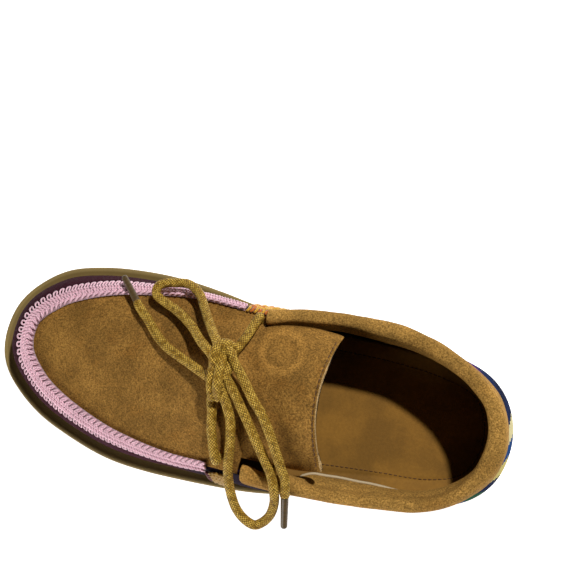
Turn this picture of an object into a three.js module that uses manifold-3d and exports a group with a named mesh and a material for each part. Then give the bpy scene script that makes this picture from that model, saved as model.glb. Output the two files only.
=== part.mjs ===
// A low lace-up moccasin shoe for a left foot, in millimetres. X runs from the back of the heel to the toe,
// Y to the wearer's left (the outer side of this shoe) and Z up from the floor.
import * as THREE from "three";
import { mergeVertices } from "three/addons/utils/BufferGeometryUtils.js";
import Module from "manifold-3d";

const wasm = await Module();
wasm.setup();

// Driving dimensions
const SOLE_LENGTH = 270;
const BALL_WIDTH = 105;
const INSTEP_HEIGHT = 81; // ridge of the apron at the throat
const HEEL_HEIGHT = 59; // top edge of the wall at the back of the heel
const HEEL_REST = 38; // from the back of the heel to the middle of the heel's flat

const HEEL_SOLE = 18;
const FOREFOOT_SOLE = 12;
const TOE_SPRING = 8;
const ARCH_LIFT = 1.5;
const HEEL_BEVEL = 1.5;
const SOLE_ROUND = 3; // how far the rounding of its lower edge reaches in
const REAR_LEDGE = 2.5; // how far the sole stands out round the wall
const FRONT_LEDGE = { lateral: 6, medial: 4.8 };

const WALL = 2.2;
const CLEARANCE = 0.3;
const INSOLE = 3;
const TONGUE = 2.2;

const COLLAR_OUTER = 4.2; // padding outside the wall's top edge
const COLLAR_INNER = 2.7; // padding inside it
const COLLAR_RISE = 3.5; // from the wall's top edge to the middle of the roll
const COLLAR_CROWN = 5.5; // from the middle of the roll to its top
const COLLAR_SLOT = 0.4; // the slot's play on each face of the wall
const COLLAR_END = 0.7; // the padding left at its two front ends
const BRAID_HEIGHT = 3;
// The braid's reach over the apron and down the wall, at the toe and at its two ends
const BRAID_REACH = {
  toe: { over: 5.3, down: 4.6 },
  lateral: { over: 2.4, down: 3.7 },
  medial: { over: 1.4, down: 3.9 },
};
const PATCH_HEIGHT = 1.8;

const LACE = 4.5;
const AGLET = 3.3;
const AGLET_LENGTH = 17;
const EYELET = 5.4;
const KNOT = { middle: [138.8, -7.4, 91.2], half: [4.6, 11.8, 5] };

// The last: one row for each section from heel to toe. along is a share of SOLE_LENGTH. lateral and medial
// are the sole's edge on the two sides of the heel-to-toe line, inLateral and inMedial how far inside that
// edge the wall's top edge lies and belly how far the wall swells, all shares of BALL_WIDTH. front says how
// much of the forefoot's shape a section has. rise is the top edge's height, a share of HEEL_HEIGHT at the
// back and of INSTEP_HEIGHT at the front.
const LAST = [
  { along: 0.0, lateral: 0.01, medial: -0.01, inLateral: 0.091, inMedial: 0.091, belly: 0.066, rise: 1.0, front: 0 },
  { along: 0.015, lateral: 0.19, medial: 0.171, inLateral: 0.092, inMedial: 0.094, belly: 0.053, rise: 0.993, front: 0 },
  { along: 0.059, lateral: 0.319, medial: 0.295, inLateral: 0.088, inMedial: 0.091, belly: 0.042, rise: 0.958, front: 0 },
  { along: 0.133, lateral: 0.381, medial: 0.362, inLateral: 0.044, inMedial: 0.05, belly: 0.04, rise: 0.924, front: 0 },
  { along: 0.222, lateral: 0.405, medial: 0.395, inLateral: 0.037, inMedial: 0.021, belly: 0.04, rise: 0.907, front: 0 },
  { along: 0.315, lateral: 0.429, medial: 0.41, inLateral: 0.051, inMedial: 0.028, belly: 0.036, rise: 0.949, front: 0 },
  { along: 0.4, lateral: 0.455, medial: 0.419, inLateral: 0.083, inMedial: 0.052, belly: 0.03, rise: 0.987, front: 0.15 },
  { along: 0.461, lateral: 0.472, medial: 0.433, inLateral: 0.107, inMedial: 0.082, belly: 0.024, rise: 0.958, front: 0.45 },
  { along: 0.519, lateral: 0.479, medial: 0.45, inLateral: 0.123, inMedial: 0.082, belly: 0.006, rise: 0.838, front: 0.9 },
  { along: 0.593, lateral: 0.479, medial: 0.489, inLateral: 0.126, inMedial: 0.098, belly: -0.004, rise: 0.716, front: 1 },
  { along: 0.678, lateral: 0.47, medial: 0.523, inLateral: 0.143, inMedial: 0.132, belly: -0.01, rise: 0.63, front: 1 },
  { along: 0.759, lateral: 0.44, medial: 0.53, inLateral: 0.159, inMedial: 0.152, belly: -0.014, rise: 0.58, front: 1 },
  { along: 0.837, lateral: 0.371, medial: 0.513, inLateral: 0.164, inMedial: 0.177, belly: -0.02, rise: 0.543, front: 1 },
  { along: 0.904, lateral: 0.286, medial: 0.466, inLateral: 0.174, inMedial: 0.197, belly: -0.028, rise: 0.525, front: 1 },
  { along: 0.956, lateral: 0.176, medial: 0.367, inLateral: 0.185, inMedial: 0.196, belly: -0.028, rise: 0.519, front: 1 },
  { along: 0.989, lateral: 0.059, medial: 0.24, inLateral: 0.196, inMedial: 0.194, belly: -0.028, rise: 0.512, front: 1 },
  { along: 1.0, lateral: -0.08, medial: 0.08, inLateral: 0.196, inMedial: 0.196, belly: -0.028, rise: 0.512, front: 1 },
];
const TOE_ROW = LAST.length - 1;
const THROAT_ROW = 7;
const COLLAR_TAPER_ROW = 6;
const COLLAR_END_ROW = 6.9;
const BRAID_LATERAL_ROW = 8;
const BRAID_MEDIAL_ROW = 7 + 2 / 3;

// The sole's side from the floor up: inset from the edge as a share of SOLE_ROUND, up as a share of the
// thickness
const SOLE_SIDE = [
  { inset: 1, up: 0 },
  { inset: 0.3, up: 0.12 },
  { inset: 0.07, up: 0.3 },
  { inset: 0, up: 0.8 },
  { inset: 0.13, up: 0.95 },
  { inset: 0.47, up: 1 },
];

// The tongue from the throat back. along is a share of SOLE_LENGTH, lateral and medial its edges as shares
// of BALL_WIDTH, centre and edge its heights as shares of INSTEP_HEIGHT.
const TONGUE_SECTIONS = [
  { along: 0.462, lateral: 0.29, medial: 0.287, centre: 1.0, edge: 0.88 },
  { along: 0.43, lateral: 0.295, medial: 0.292, centre: 1.035, edge: 0.835 },
  { along: 0.393, lateral: 0.301, medial: 0.297, centre: 1.065, edge: 0.8 },
  { along: 0.36, lateral: 0.302, medial: 0.304, centre: 1.09, edge: 0.788 },
  { along: 0.323, lateral: 0.291, medial: 0.31, centre: 1.108, edge: 0.788 },
];
const TONGUE_HOLLOW = 6; // how far the middle of its free edge lies ahead of its corners

// Patches of crochet at the two ends of the braid: row of the last, and the wall levels it spans there
const LATERAL_PATCH = [
  { row: 7.93, low: 0.55, high: 0.9 },
  { row: 7.75, low: 0.4, high: 0.96 },
  { row: 7.5, low: 0.3, high: 0.96 },
  { row: 7.25, low: 0.34, high: 0.93 },
  { row: 7.08, low: 0.46, high: 0.84 },
];
const MEDIAL_PATCH = [
  { row: 7.6, low: 0.74, high: 0.92 },
  { row: 7.4, low: 0.62, high: 0.95 },
  { row: 7.15, low: 0.5, high: 0.9 },
  { row: 7.0, low: 0.44, high: 0.72 },
  { row: 6.75, low: 0.44, high: 0.72 },
  { row: 6.5, low: 0.54, high: 0.7 },
];

// Routes of the free lace, chosen by hand, each from the knot outwards
const TOE_LOOP = [
  [140.8, -10.4, 90], [144.1, -13.6, 88.6], [151.2, -18.8, 82.2], [156.7, -24, 76.2], [163.4, -29, 70.4],
  [170.4, -33, 65.5], [177, -35.9, 62.2], [181.6, -38.8, 60.2], [181.9, -42.2, 60], [179.3, -44.7, 59.8],
  [173.6, -45.8, 60.2], [167.5, -46.3, 61.8], [162.6, -44.5, 64.6], [158.5, -40.9, 67], [154.7, -35.4, 71.4],
  [150.4, -29.2, 77.2], [145.9, -23.4, 83.5], [142.3, -19.2, 89], [139.8, -14.5, 91.8],
];
const TOE_END = [
  [137.9, -1.3, 91], [141.4, -2, 88.1], [148.5, -4.9, 82.6], [155.5, -7.8, 77.8], [162.4, -10.7, 73.8],
  [169.6, -14.2, 70.1], [176.1, -19.1, 66.4], [182.3, -25.3, 62.4], [188.2, -30.6, 59.3], [191, -33.7, 57.8],
];
const LATERAL_LOOP = [
  [135, -4, 92], [132, -0.5, 90.5], [127.4, 6.4, 87.4], [122.7, 13.3, 85.5], [118, 20.8, 82.7],
  [113.4, 28.3, 78.5], [109.3, 35, 75], [107, 42, 72], [106.3, 47.8, 66.8], [107.9, 54.6, 61.5],
  [111.4, 58.8, 59], [114.5, 60.4, 58.5], [119.2, 58.8, 59], [123.6, 54.8, 61], [126.5, 49.4, 64],
  [128.6, 42.5, 68.2], [129.5, 35.4, 73.4], [129.4, 28.3, 77.8], [129.6, 21.4, 81.4], [130.4, 14.7, 84.2],
  [132.1, 9.9, 86.3], [134.4, 4.8, 88.7], [136.3, 1.1, 90],
];
const HEEL_END = [
  [139.1, -10.1, 91], [136.1, -16, 92.6], [131.9, -10.7, 91.7], [128, -5.7, 90.5], [120.9, 4, 89.7],
  [116.3, 9.5, 88.9], [112.2, 16, 86.7], [108.5, 23.6, 82.7], [105, 31.4, 77], [102.7, 36.6, 73.2],
  [102.1, 40.5, 71.1], [101.8, 44, 69],
];
// The bars rise out of the medial eyelet, cross under the knot and go down the lateral one
const BARS = [
  [130.7, -24.6, 79.6], [134.5, -16.4, 82.2], [138.8, -3.9, 83.9], [140.8, 6.3, 83.9], [139.7, 11.7, 83],
  [138.9, 19.9, 80.4],
];
// The eyelets in the apron's rear corners: along as a share of SOLE_LENGTH, across of BALL_WIDTH
const EYELETS = [
  { along: 0.4744, across: -0.3143 },
  { along: 0.5, across: 0.3029 },
];
const EYELET_DEPTH = 5; // how far below the suede the bars' hidden ends stop
const EYELET_RISE = 3.6; // how far above it the bars turn over

const COLOURS = {
  suede: 0x9a6b32,
  collar: 0xa87a40,
  cloth: 0x3a1228,
  gum: 0x6e5f3a,
  insole: 0x8f6a35,
  pink: 0xe8b4c8,
  yellow: 0xe0a820,
  olive: 0x9a7a28,
  lace: 0x97742a,
  tip: 0x6d5330,
};

const STEPS_PER_ROW = 3;
const RING = 2 * TOE_ROW; // rows once round the shoe: out along the lateral side, back along the medial one
const WALL_LEVELS = [0, 0.2, 0.4, 0.6, 0.75, 0.875, 1];
const COLLAR_LEVELS = WALL_LEVELS.slice(-3);
const APRON_COLUMNS = 10;

const UP = new THREE.Vector3(0, 0, 1);
const mix = (a, b, t) => a + (b - a) * t;
const smooth = (x, from, to) => THREE.MathUtils.smoothstep(x, from, to);

function catmullRom(a, b, c, d, t) {
  const slope = c - a;
  const bend = 2 * a - 5 * b + 4 * c - d;
  const twist = 3 * b - a - 3 * c + d;
  return 0.5 * (2 * b + slope * t + bend * t * t + twist * t * t * t);
}

// The last's rows once round the shoe, as lengths
const ring = Array.from({ length: RING }, (_, k) => {
  const lateral = k <= TOE_ROW;
  const row = LAST[lateral ? k : RING - k];
  const reference = mix(HEEL_HEIGHT, INSTEP_HEIGHT, row.front);
  return {
    x: row.along * SOLE_LENGTH,
    y: (lateral ? row.lateral : -row.medial) * BALL_WIDTH,
    inset: (lateral ? row.inLateral : row.inMedial) * BALL_WIDTH,
    belly: row.belly * BALL_WIDTH,
    rise: row.rise * reference,
    front: row.front,
  };
});

function around(key, u) {
  const k = Math.floor(u);
  const at = (j) => ring[(((k + j) % RING) + RING) % RING][key];
  return catmullRom(at(-1), at(0), at(1), at(2), u - k);
}

// Heights of the sole's underside and top
function under(x) {
  const share = x / SOLE_LENGTH;
  const spring = TOE_SPRING * Math.max(0, (share - 0.72) / 0.28) ** 2;
  const arch = ARCH_LIFT * Math.sin(Math.PI * THREE.MathUtils.clamp((share - 0.34) / 0.2, 0, 1)) ** 2;
  const bevel = HEEL_BEVEL * Math.max(0, (0.05 - share) / 0.05);
  return spring + arch + bevel;
}

function thickness(x) {
  return mix(HEEL_SOLE, FOREFOOT_SOLE, smooth(x, 0.2 * SOLE_LENGTH, 0.72 * SOLE_LENGTH));
}

const soleTop = (x) => under(Math.max(x, 0.05 * SOLE_LENGTH)) + thickness(x);

function edge(u) {
  return new THREE.Vector3(around("x", u), around("y", u), 0);
}

function outward(u) {
  const step = 0.02;
  const along = edge(u + step).sub(edge(u - step));
  return new THREE.Vector3(-along.y, along.x, 0).normalize();
}

function ledgeWidth(u) {
  const lateral = smooth(around("y", u), -0.25 * BALL_WIDTH, 0.25 * BALL_WIDTH);
  return mix(REAR_LEDGE, mix(FRONT_LEDGE.medial, FRONT_LEDGE.lateral, lateral), around("front", u));
}

// A point of the sole's outline, moved inwards
function outline(u, inset) {
  return edge(u).addScaledVector(outward(u), -inset);
}

// The wall's outer face at station u: a Bezier curve from the sole, level 0, to its top edge, level 1
const FRONT_DROP = 0.15;
const REAR_DROP = 0.5;
const SHOULDER = 0.6;
const FOOT = 0.45;

function wallCurve(u) {
  const front = around("front", u);
  const inset = around("inset", u);
  const ledge = ledgeWidth(u);
  const out = outward(u);
  const base = outline(u, ledge);
  base.z = soleTop(base.x) + CLEARANCE;
  const rim = outline(u, inset);
  rim.z = around("rise", u);
  const height = rim.z - base.z;
  const low = base.clone().addScaledVector(out, around("belly", u)).addScaledVector(UP, FOOT * height);
  const high = rim.clone().addScaledVector(out, SHOULDER * (inset - ledge));
  high.z -= mix(REAR_DROP, FRONT_DROP, front) * height;
  return new THREE.CubicBezierCurve3(base, low, high, rim);
}

const wallPoint = (u, level) => wallCurve(u).getPoint(level);

function wallNormal(u, level) {
  const step = 0.02;
  const along = wallPoint(u + step, level).sub(wallPoint(u - step, level));
  const upward = wallCurve(u).getTangent(level);
  return along.cross(upward).negate().normalize();
}

// The apron: a crowned sheet between the two sides' top edges, as a height over x and y
const stations = Array.from({ length: RING * STEPS_PER_ROW }, (_, i) => i / STEPS_PER_ROW);
const THROAT = THROAT_ROW * STEPS_PER_ROW;
const TOE = TOE_ROW * STEPS_PER_ROW;
const COUNT = stations.length;
const rims = stations.map((u) => wallPoint(u, 1));
const TIP = rims[TOE];
const APRON_CROWN = INSTEP_HEIGHT - rims[THROAT].z;
const CROWN_FALL = 1.8;

function rimAt(x, medial) {
  for (let i = THROAT; i < TOE; i++) {
    const a = rims[medial ? COUNT - i : i];
    const b = rims[medial ? COUNT - i - 1 : i + 1];
    if (x <= b.x || i === TOE - 1) return a.clone().lerp(b, Math.min(1, (x - a.x) / (b.x - a.x)));
  }
}

function apronHeight(x, y) {
  const inside = Math.min(x, TIP.x - 0.5);
  const lateral = rimAt(inside, false);
  const medial = rimAt(inside, true);
  const across = THREE.MathUtils.clamp((2 * y - lateral.y - medial.y) / (lateral.y - medial.y), -1, 1);
  const toToe = THREE.MathUtils.clamp((x - rims[THROAT].x) / (TIP.x - rims[THROAT].x), 0, 1);
  const crown = APRON_CROWN * (1 - toToe ** CROWN_FALL);
  return mix(medial.z, lateral.z, (across + 1) / 2) + crown * (1 - across * across);
}

// Meshes are kept as a list of points and a list of triangles
function solidOf({ points, faces }) {
  const geometry = new THREE.BufferGeometry().setFromPoints(points);
  geometry.setIndex(faces.flat());
  return closed(geometry);
}

// A three.js geometry as a manifold-3d solid, turned right side out
function closed(geometry) {
  const bare = geometry.index ? geometry.toNonIndexed() : geometry.clone();
  bare.deleteAttribute("normal");
  bare.deleteAttribute("uv");
  const merged = mergeVertices(bare, 1e-3);
  const index = merged.index.array;
  const triangles = [];
  for (let i = 0; i < index.length; i += 3) {
    const [a, b, c] = index.slice(i, i + 3);
    if (a !== b && b !== c && c !== a) triangles.push(a, b, c);
  }
  const build = (triVerts) =>
    new wasm.Manifold(
      new wasm.Mesh({
        numProp: 3,
        vertProperties: new Float32Array(merged.attributes.position.array),
        triVerts: new Uint32Array(triVerts),
      }),
    );
  const solid = build(triangles);
  return solid.volume() > 0 ? solid : build(triangles.reverse());
}

function geometryOf(solid) {
  const mesh = solid.getMesh();
  const geometry = new THREE.BufferGeometry();
  geometry.setAttribute("position", new THREE.BufferAttribute(new Float32Array(mesh.vertProperties), 3));
  geometry.setIndex(new THREE.BufferAttribute(new Uint32Array(mesh.triVerts), 1));
  geometry.computeVertexNormals();
  return geometry;
}

// Quads between neighbouring rows of a grid whose rows have equal lengths
function gridFaces(rows, roundEach) {
  const faces = [];
  for (let r = 0; r + 1 < rows.length; r++) {
    const length = rows[r].length;
    for (let c = 0; c < (roundEach ? length : length - 1); c++) {
      const d = (c + 1) % length;
      faces.push([rows[r][c], rows[r][d], rows[r + 1][d]], [rows[r][c], rows[r + 1][d], rows[r + 1][c]]);
    }
  }
  return faces;
}

// A slab between rings of points that run once round the shoe, closed by strips across it
function slab(levels) {
  const points = levels.flat();
  const rows = levels.map((level, r) => level.map((_, i) => r * COUNT + i));
  const strip = (row, turned) => {
    const faces = [];
    for (let i = 0; i < COUNT / 2; i++) {
      const [a, b] = [row[i], row[i + 1]];
      const [c, d] = [row[COUNT - i - 1], row[(COUNT - i) % COUNT]];
      if (b !== c) faces.push(turned ? [a, c, b] : [a, b, c]);
      if (a !== d) faces.push(turned ? [a, d, c] : [a, c, d]);
    }
    return faces;
  };
  const faces = [...gridFaces(rows, true), ...strip(rows[0], true), ...strip(rows.at(-1), false)];
  return { points, faces };
}

// An open sheet given a thickness inwards; edgeFlat says which points keep their height
function thicken({ points, faces }, depth, edgeFlat = () => false) {
  const geometry = new THREE.BufferGeometry().setFromPoints(points);
  geometry.setIndex(faces.flat());
  geometry.computeVertexNormals();
  const normals = geometry.attributes.normal;
  const inner = points.map((point, i) => {
    const normal = new THREE.Vector3().fromBufferAttribute(normals, i);
    if (edgeFlat(i)) normal.setZ(0).normalize();
    return point.clone().addScaledVector(normal, -depth);
  });
  const count = points.length;
  const used = new Set(faces.flatMap(([a, b, c]) => [`${a},${b}`, `${b},${c}`, `${c},${a}`]));
  const rim = [...used]
    .map((pair) => pair.split(",").map(Number))
    .filter(([a, b]) => !used.has(`${b},${a}`));
  return {
    points: [...points, ...inner],
    faces: [
      ...faces,
      ...faces.map(([a, b, c]) => [a + count, c + count, b + count]),
      ...rim.flatMap(([a, b]) => [[b, a, a + count], [b, a + count, b + count]]),
    ],
  };
}

// A bar swept along a line: one section of points for each station, closed by a cap at both ends
function sweep(sections, capShape) {
  const size = sections[0].length;
  const points = sections.flat();
  const rows = sections.map((section, r) => section.map((_, i) => r * size + i));
  const { area, triangulateShape } = THREE.ShapeUtils;
  const turning = Math.sign(area(capShape));
  const cap = triangulateShape(capShape, []).map((face) =>
    Math.sign(area(face.map((i) => capShape[i]))) === turning ? face : [...face].reverse(),
  );
  const last = (sections.length - 1) * size;
  const faces = [
    ...gridFaces(rows, true),
    ...cap.map(([a, b, c]) => [a, c, b]),
    ...cap.map(([a, b, c]) => [a + last, b + last, c + last]),
  ];
  return { points, faces };
}

// The section of a sweep as a flat shape, for its caps
function flatShape(section, origin, across, upward) {
  return section.map((point) => {
    const from = point.clone().sub(origin);
    return new THREE.Vector2(from.dot(across), from.dot(upward));
  });
}

function outsole() {
  return slab(
    SOLE_SIDE.map(({ inset, up }) =>
      stations.map((u) => {
        const point = outline(u, inset * SOLE_ROUND);
        point.z = mix(under(point.x), soleTop(point.x), up);
        return point;
      }),
    ),
  );
}

function insole() {
  const rise = [CLEARANCE, CLEARANCE + INSOLE];
  return slab(
    rise.map((height) =>
      stations.map((u) => {
        const lean = Math.max(0, -around("belly", u)) / 2; // the wall leans in from its foot
        const point = outline(u, ledgeWidth(u) + WALL + 2 * CLEARANCE + lean);
        point.z = soleTop(point.x) + height;
        return point;
      }),
    ),
  );
}

// Wall and apron as one sheet: rings up the wall, then rows across the forefoot
function upper() {
  const points = WALL_LEVELS.flatMap((level) => stations.map((u) => wallPoint(u, level)));
  const rings = WALL_LEVELS.map((_, r) => stations.map((_, i) => r * COUNT + i));
  const top = rings.at(-1);
  const rows = [];
  for (let i = THROAT; i < TOE; i++) {
    const [a, b] = [rims[i], rims[COUNT - i]];
    const row = [top[i]];
    for (let c = 1; c < APRON_COLUMNS; c++) {
      const point = a.clone().lerp(b, c / APRON_COLUMNS);
      point.z = apronHeight(point.x, point.y);
      row.push(points.length);
      points.push(point);
    }
    row.push(top[COUNT - i]);
    rows.push(row);
  }
  const front = rows.at(-1);
  const fan = front.slice(1).map((b, c) => [front[c], b, top[TOE]]);
  const faces = [...gridFaces(rings, true), ...gridFaces(rows, false).concat(fan).map(([a, b, c]) => [a, c, b])];
  const shell = solidOf(thicken({ points, faces: faces.map(([a, b, c]) => [a, c, b]) }, WALL, (i) => i < COUNT));
  return EYELETS.reduce((solid, at) => solid.subtract(eyeletPunch(at)), shell);
}

function apronNormal(x, y) {
  const step = 1;
  const slopeX = (apronHeight(x + step, y) - apronHeight(x - step, y)) / (2 * step);
  const slopeY = (apronHeight(x, y + step) - apronHeight(x, y - step)) / (2 * step);
  return new THREE.Vector3(-slopeX, -slopeY, 1).normalize();
}

// A point on an eyelet's axis, at a height above the apron
function overEyelet({ along, across }, height) {
  const [x, y] = [along * SOLE_LENGTH, across * BALL_WIDTH];
  return new THREE.Vector3(x, y, apronHeight(x, y)).addScaledVector(apronNormal(x, y), height);
}

// A round punch through the apron at an eyelet, square to the surface
function eyeletPunch(eyelet) {
  const middle = overEyelet(eyelet, 0);
  const axis = overEyelet(eyelet, 1).sub(middle);
  const punch = new THREE.CylinderGeometry(EYELET / 2, EYELET / 2, 6 * WALL, 16);
  punch.applyQuaternion(new THREE.Quaternion().setFromUnitVectors(new THREE.Vector3(0, 1, 0), axis));
  punch.translate(middle.x, middle.y, middle.z);
  return closed(punch);
}

function tongue() {
  const columns = 10;
  const lengths = TONGUE_SECTIONS.map((row) => ({
    x: row.along * SOLE_LENGTH,
    lateral: row.lateral * BALL_WIDTH,
    medial: row.medial * BALL_WIDTH,
    centre: row.centre * INSTEP_HEIGHT,
    edge: row.edge * INSTEP_HEIGHT,
  }));
  const rows = lengths.map((row, r) =>
    Array.from({ length: columns + 1 }, (_, c) => {
      const across = (2 * c) / columns - 1;
      const back = (r / (lengths.length - 1)) ** 2;
      const hollow = TONGUE_HOLLOW * back * (1 - across * across);
      const y = mix(row.lateral, -row.medial, c / columns);
      return new THREE.Vector3(row.x + hollow, y, mix(row.edge, row.centre, 1 - across * across));
    }),
  );
  const index = rows.map((row, r) => row.map((_, c) => r * (columns + 1) + c));
  return thicken({ points: rows.flat(), faces: gridFaces(index, false) }, TONGUE);
}

// A padded roll over the wall's top edge, with a slot that the wall stands in
function collar() {
  const rows = [-COLLAR_END_ROW];
  for (let i = Math.ceil(-COLLAR_END_ROW * STEPS_PER_ROW); i <= COLLAR_END_ROW * STEPS_PER_ROW; i++)
    rows.push(i / STEPS_PER_ROW);
  rows.push(COLLAR_END_ROW);
  const frames = rows.map((u) => {
    const rim = wallPoint(u, 1);
    const upward = wallCurve(u).getTangent(1);
    return { u, rim, upward, out: wallNormal(u, 1) };
  });
  const roll = [0, 1, 2, 3, 4, 5, 6].map((k) => (k * Math.PI) / 6);
  const thin = [0.3, 0.75, 1]; // the padding's share at each of the collar's levels, from its lower edge up
  const sections = frames.map(({ u, rim, upward, out }) => {
    const end = Math.max(0, Math.abs(u) - COLLAR_TAPER_ROW) / (COLLAR_END_ROW - COLLAR_TAPER_ROW);
    const outer = COLLAR_OUTER * mix(1, COLLAR_END, end);
    const inner = COLLAR_INNER * mix(1, COLLAR_END, end);
    const half = WALL / 2 + COLLAR_SLOT + (outer + inner) / 2;
    const middle = rim
      .clone()
      .addScaledVector(upward, COLLAR_RISE)
      .addScaledVector(out, (outer - inner - WALL) / 2);
    const skin = (k, depth) =>
      wallPoint(u, COLLAR_LEVELS[k]).addScaledVector(wallNormal(u, COLLAR_LEVELS[k]), depth);
    const lid = (depth) => skin(2, depth).addScaledVector(upward, COLLAR_SLOT);
    return [
      ...[0, 1, 2].map((k) => skin(k, COLLAR_SLOT + outer * thin[k])),
      ...roll.map((angle) =>
        middle
          .clone()
          .addScaledVector(out, half * Math.cos(angle))
          .addScaledVector(upward, COLLAR_CROWN * Math.sin(angle)),
      ),
      ...[2, 1, 0].map((k) => skin(k, -WALL - COLLAR_SLOT - inner * thin[k])),
      ...[0, 1].map((k) => skin(k, -WALL - COLLAR_SLOT)),
      lid(-WALL - COLLAR_SLOT),
      lid(COLLAR_SLOT),
      ...[1, 0].map((k) => skin(k, COLLAR_SLOT)),
    ];
  });
  const { rim, out, upward } = frames[0];
  return sweep(sections, flatShape(sections[0], rim, out, upward));
}

// A point on the upper at a distance inwards (over the apron) or outwards (down the wall) from the seam
function overSeam(u, inwards) {
  if (inwards <= 0) {
    const curve = wallCurve(u);
    const speed = 3 * curve.v3.distanceTo(curve.v2);
    return wallPoint(u, 1 + inwards / speed);
  }
  const point = wallPoint(u, 1).addScaledVector(outward(u), -inwards);
  point.z = apronHeight(point.x, point.y);
  return point;
}

function seamNormal(u, inwards) {
  const step = 0.05;
  const along = overSeam(u + step, inwards).sub(overSeam(u - step, inwards));
  const across = overSeam(u, inwards + 0.4).sub(overSeam(u, inwards - 0.4));
  return along.cross(across).negate().normalize();
}

// The crochet braid over the seam: a low cushion from the lateral corner round the toe to the medial one
function braid() {
  const rows = [];
  const last = (RING - BRAID_MEDIAL_ROW) * STEPS_PER_ROW;
  for (let i = BRAID_LATERAL_ROW * STEPS_PER_ROW; i <= last + 1e-6; i++) rows.push(i / STEPS_PER_ROW);
  const shares = [-1, -0.5, 0, 0.5, 1];
  const reach = (u, share) => {
    const toe = smooth(around("x", u), 0.5 * SOLE_LENGTH, 0.95 * SOLE_LENGTH);
    const side = share < 0 ? "down" : "over";
    const end = u <= TOE_ROW ? BRAID_REACH.lateral : BRAID_REACH.medial;
    return share * mix(end[side], BRAID_REACH.toe[side], toe);
  };
  const sections = rows.map((u) => {
    const lift = (share, height) =>
      overSeam(u, reach(u, share)).addScaledVector(seamNormal(u, reach(u, share)), height);
    const top = shares.map((share) => lift(share, CLEARANCE + BRAID_HEIGHT * (1 - 0.65 * share * share)));
    const bottom = [...shares].reverse().map((share) => lift(share, CLEARANCE));
    return [...top, ...bottom];
  });
  const u = rows[0];
  const across = overSeam(u, reach(u, 1)).sub(overSeam(u, reach(u, -1))).normalize();
  return sweep(sections, flatShape(sections[0], overSeam(u, 0), across, seamNormal(u, 0)));
}

// A small pad of crochet on the wall, from its table of rows and levels
function patch(table, medial) {
  const columns = 8;
  const station = (row) => (medial ? RING - row : row);
  const points = table.map(({ row, low, high }) =>
    Array.from({ length: columns + 1 }, (_, c) => {
      const level = mix(low, high, c / columns);
      const swell = 0.35 + 0.65 * Math.sin((Math.PI * c) / columns);
      const lift = CLEARANCE + PATCH_HEIGHT * swell;
      return [level, station(row), lift];
    }),
  );
  const place = ([level, u, lift]) => wallPoint(u, level).addScaledVector(wallNormal(u, level), lift);
  const sections = points.map((row) => [
    ...row.map(place),
    ...[...row].reverse().map(([level, u]) => place([level, u, CLEARANCE])),
  ]);
  const u = station(table[0].row);
  const upward = wallCurve(u).getTangent(0.8);
  return sweep(sections, flatShape(sections[0], sections[0][0], upward, wallNormal(u, 0.8)));
}

// A round cord along hand-placed points
function cord(route, diameter, sides = 8) {
  const path = new THREE.CatmullRomCurve3(route.map((p) => new THREE.Vector3(...p)), false, "centripetal");
  const section = Array.from({ length: sides }, (_, k) => {
    const angle = (2 * Math.PI * k) / sides;
    return new THREE.Vector2(Math.cos(angle), Math.sin(angle)).multiplyScalar(diameter / 2);
  });
  const steps = Math.max(4, Math.round(path.getLength() / (1.1 * diameter)));
  return closed(new THREE.ExtrudeGeometry(new THREE.Shape(section), { steps, extrudePath: path }));
}

function knotBody(grow = 0) {
  const ball = new THREE.SphereGeometry(1, 14, 9);
  const [a, b, c] = KNOT.half.map((half) => half + grow);
  ball.scale(a, b, c);
  ball.translate(...KNOT.middle);
  return closed(ball);
}

// A length of lace that starts inside the knot, cut back to the knot's surface
function fromKnot(route) {
  return cord(route, LACE).subtract(knotBody(CLEARANCE));
}

// A straight lace tip that starts a clearance past the lace's end
function aglet(route) {
  const [before, end] = route.slice(-2).map((p) => new THREE.Vector3(...p));
  const along = end.clone().sub(before).normalize();
  const at = (distance) => end.clone().addScaledVector(along, distance).toArray();
  return cord([at(CLEARANCE), at(CLEARANCE + AGLET_LENGTH)], AGLET, 10);
}

function bars() {
  const [medial, lateral] = EYELETS.map((eyelet) =>
    [-EYELET_DEPTH, 0, EYELET_RISE].map((height) => overEyelet(eyelet, height).toArray()),
  );
  return cord([...medial, ...BARS, ...lateral.reverse()], LACE);
}

const shoe = new THREE.Group();
// The row's origin is on the floor, under the middle of the heel
shoe.position.x = -HEEL_REST;

function add(name, solid, colour, roughness = 0.9) {
  const material = new THREE.MeshStandardMaterial({ color: colour, roughness, metalness: 0 });
  const mesh = new THREE.Mesh(geometryOf(solid), material);
  mesh.name = name;
  shoe.add(mesh);
}

add("outsole", solidOf(outsole()), COLOURS.gum, 0.75);
add("insole", solidOf(insole()), COLOURS.insole, 0.6);
add("upper", upper(), COLOURS.cloth);
add("tongue", solidOf(tongue()), COLOURS.suede);
add("collar", solidOf(collar()), COLOURS.collar);
add("toe_braid", solidOf(braid()), COLOURS.pink);
add("patch_lateral", solidOf(patch(LATERAL_PATCH, false)), COLOURS.olive);
add("patch_medial", solidOf(patch(MEDIAL_PATCH, true)), COLOURS.yellow);
add("lace_bars", bars(), COLOURS.lace, 0.55);
add("lace_knot", knotBody(), COLOURS.lace, 0.55);
add("lace_loop_toe", fromKnot(TOE_LOOP), COLOURS.lace, 0.55);
add("lace_loop_lateral", fromKnot(LATERAL_LOOP), COLOURS.lace, 0.55);
add("lace_end_toe", fromKnot(TOE_END), COLOURS.lace, 0.55);
add("lace_end_heel", fromKnot(HEEL_END), COLOURS.lace, 0.55);
add("aglet_toe", aglet(TOE_END), COLOURS.tip, 0.3);
add("aglet_heel", aglet(HEEL_END), COLOURS.tip, 0.3);

export default shoe;
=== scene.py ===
"""A low lace-up moccasin shoe: its looks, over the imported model's solids."""

import math
from functools import lru_cache
from itertools import product

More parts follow.
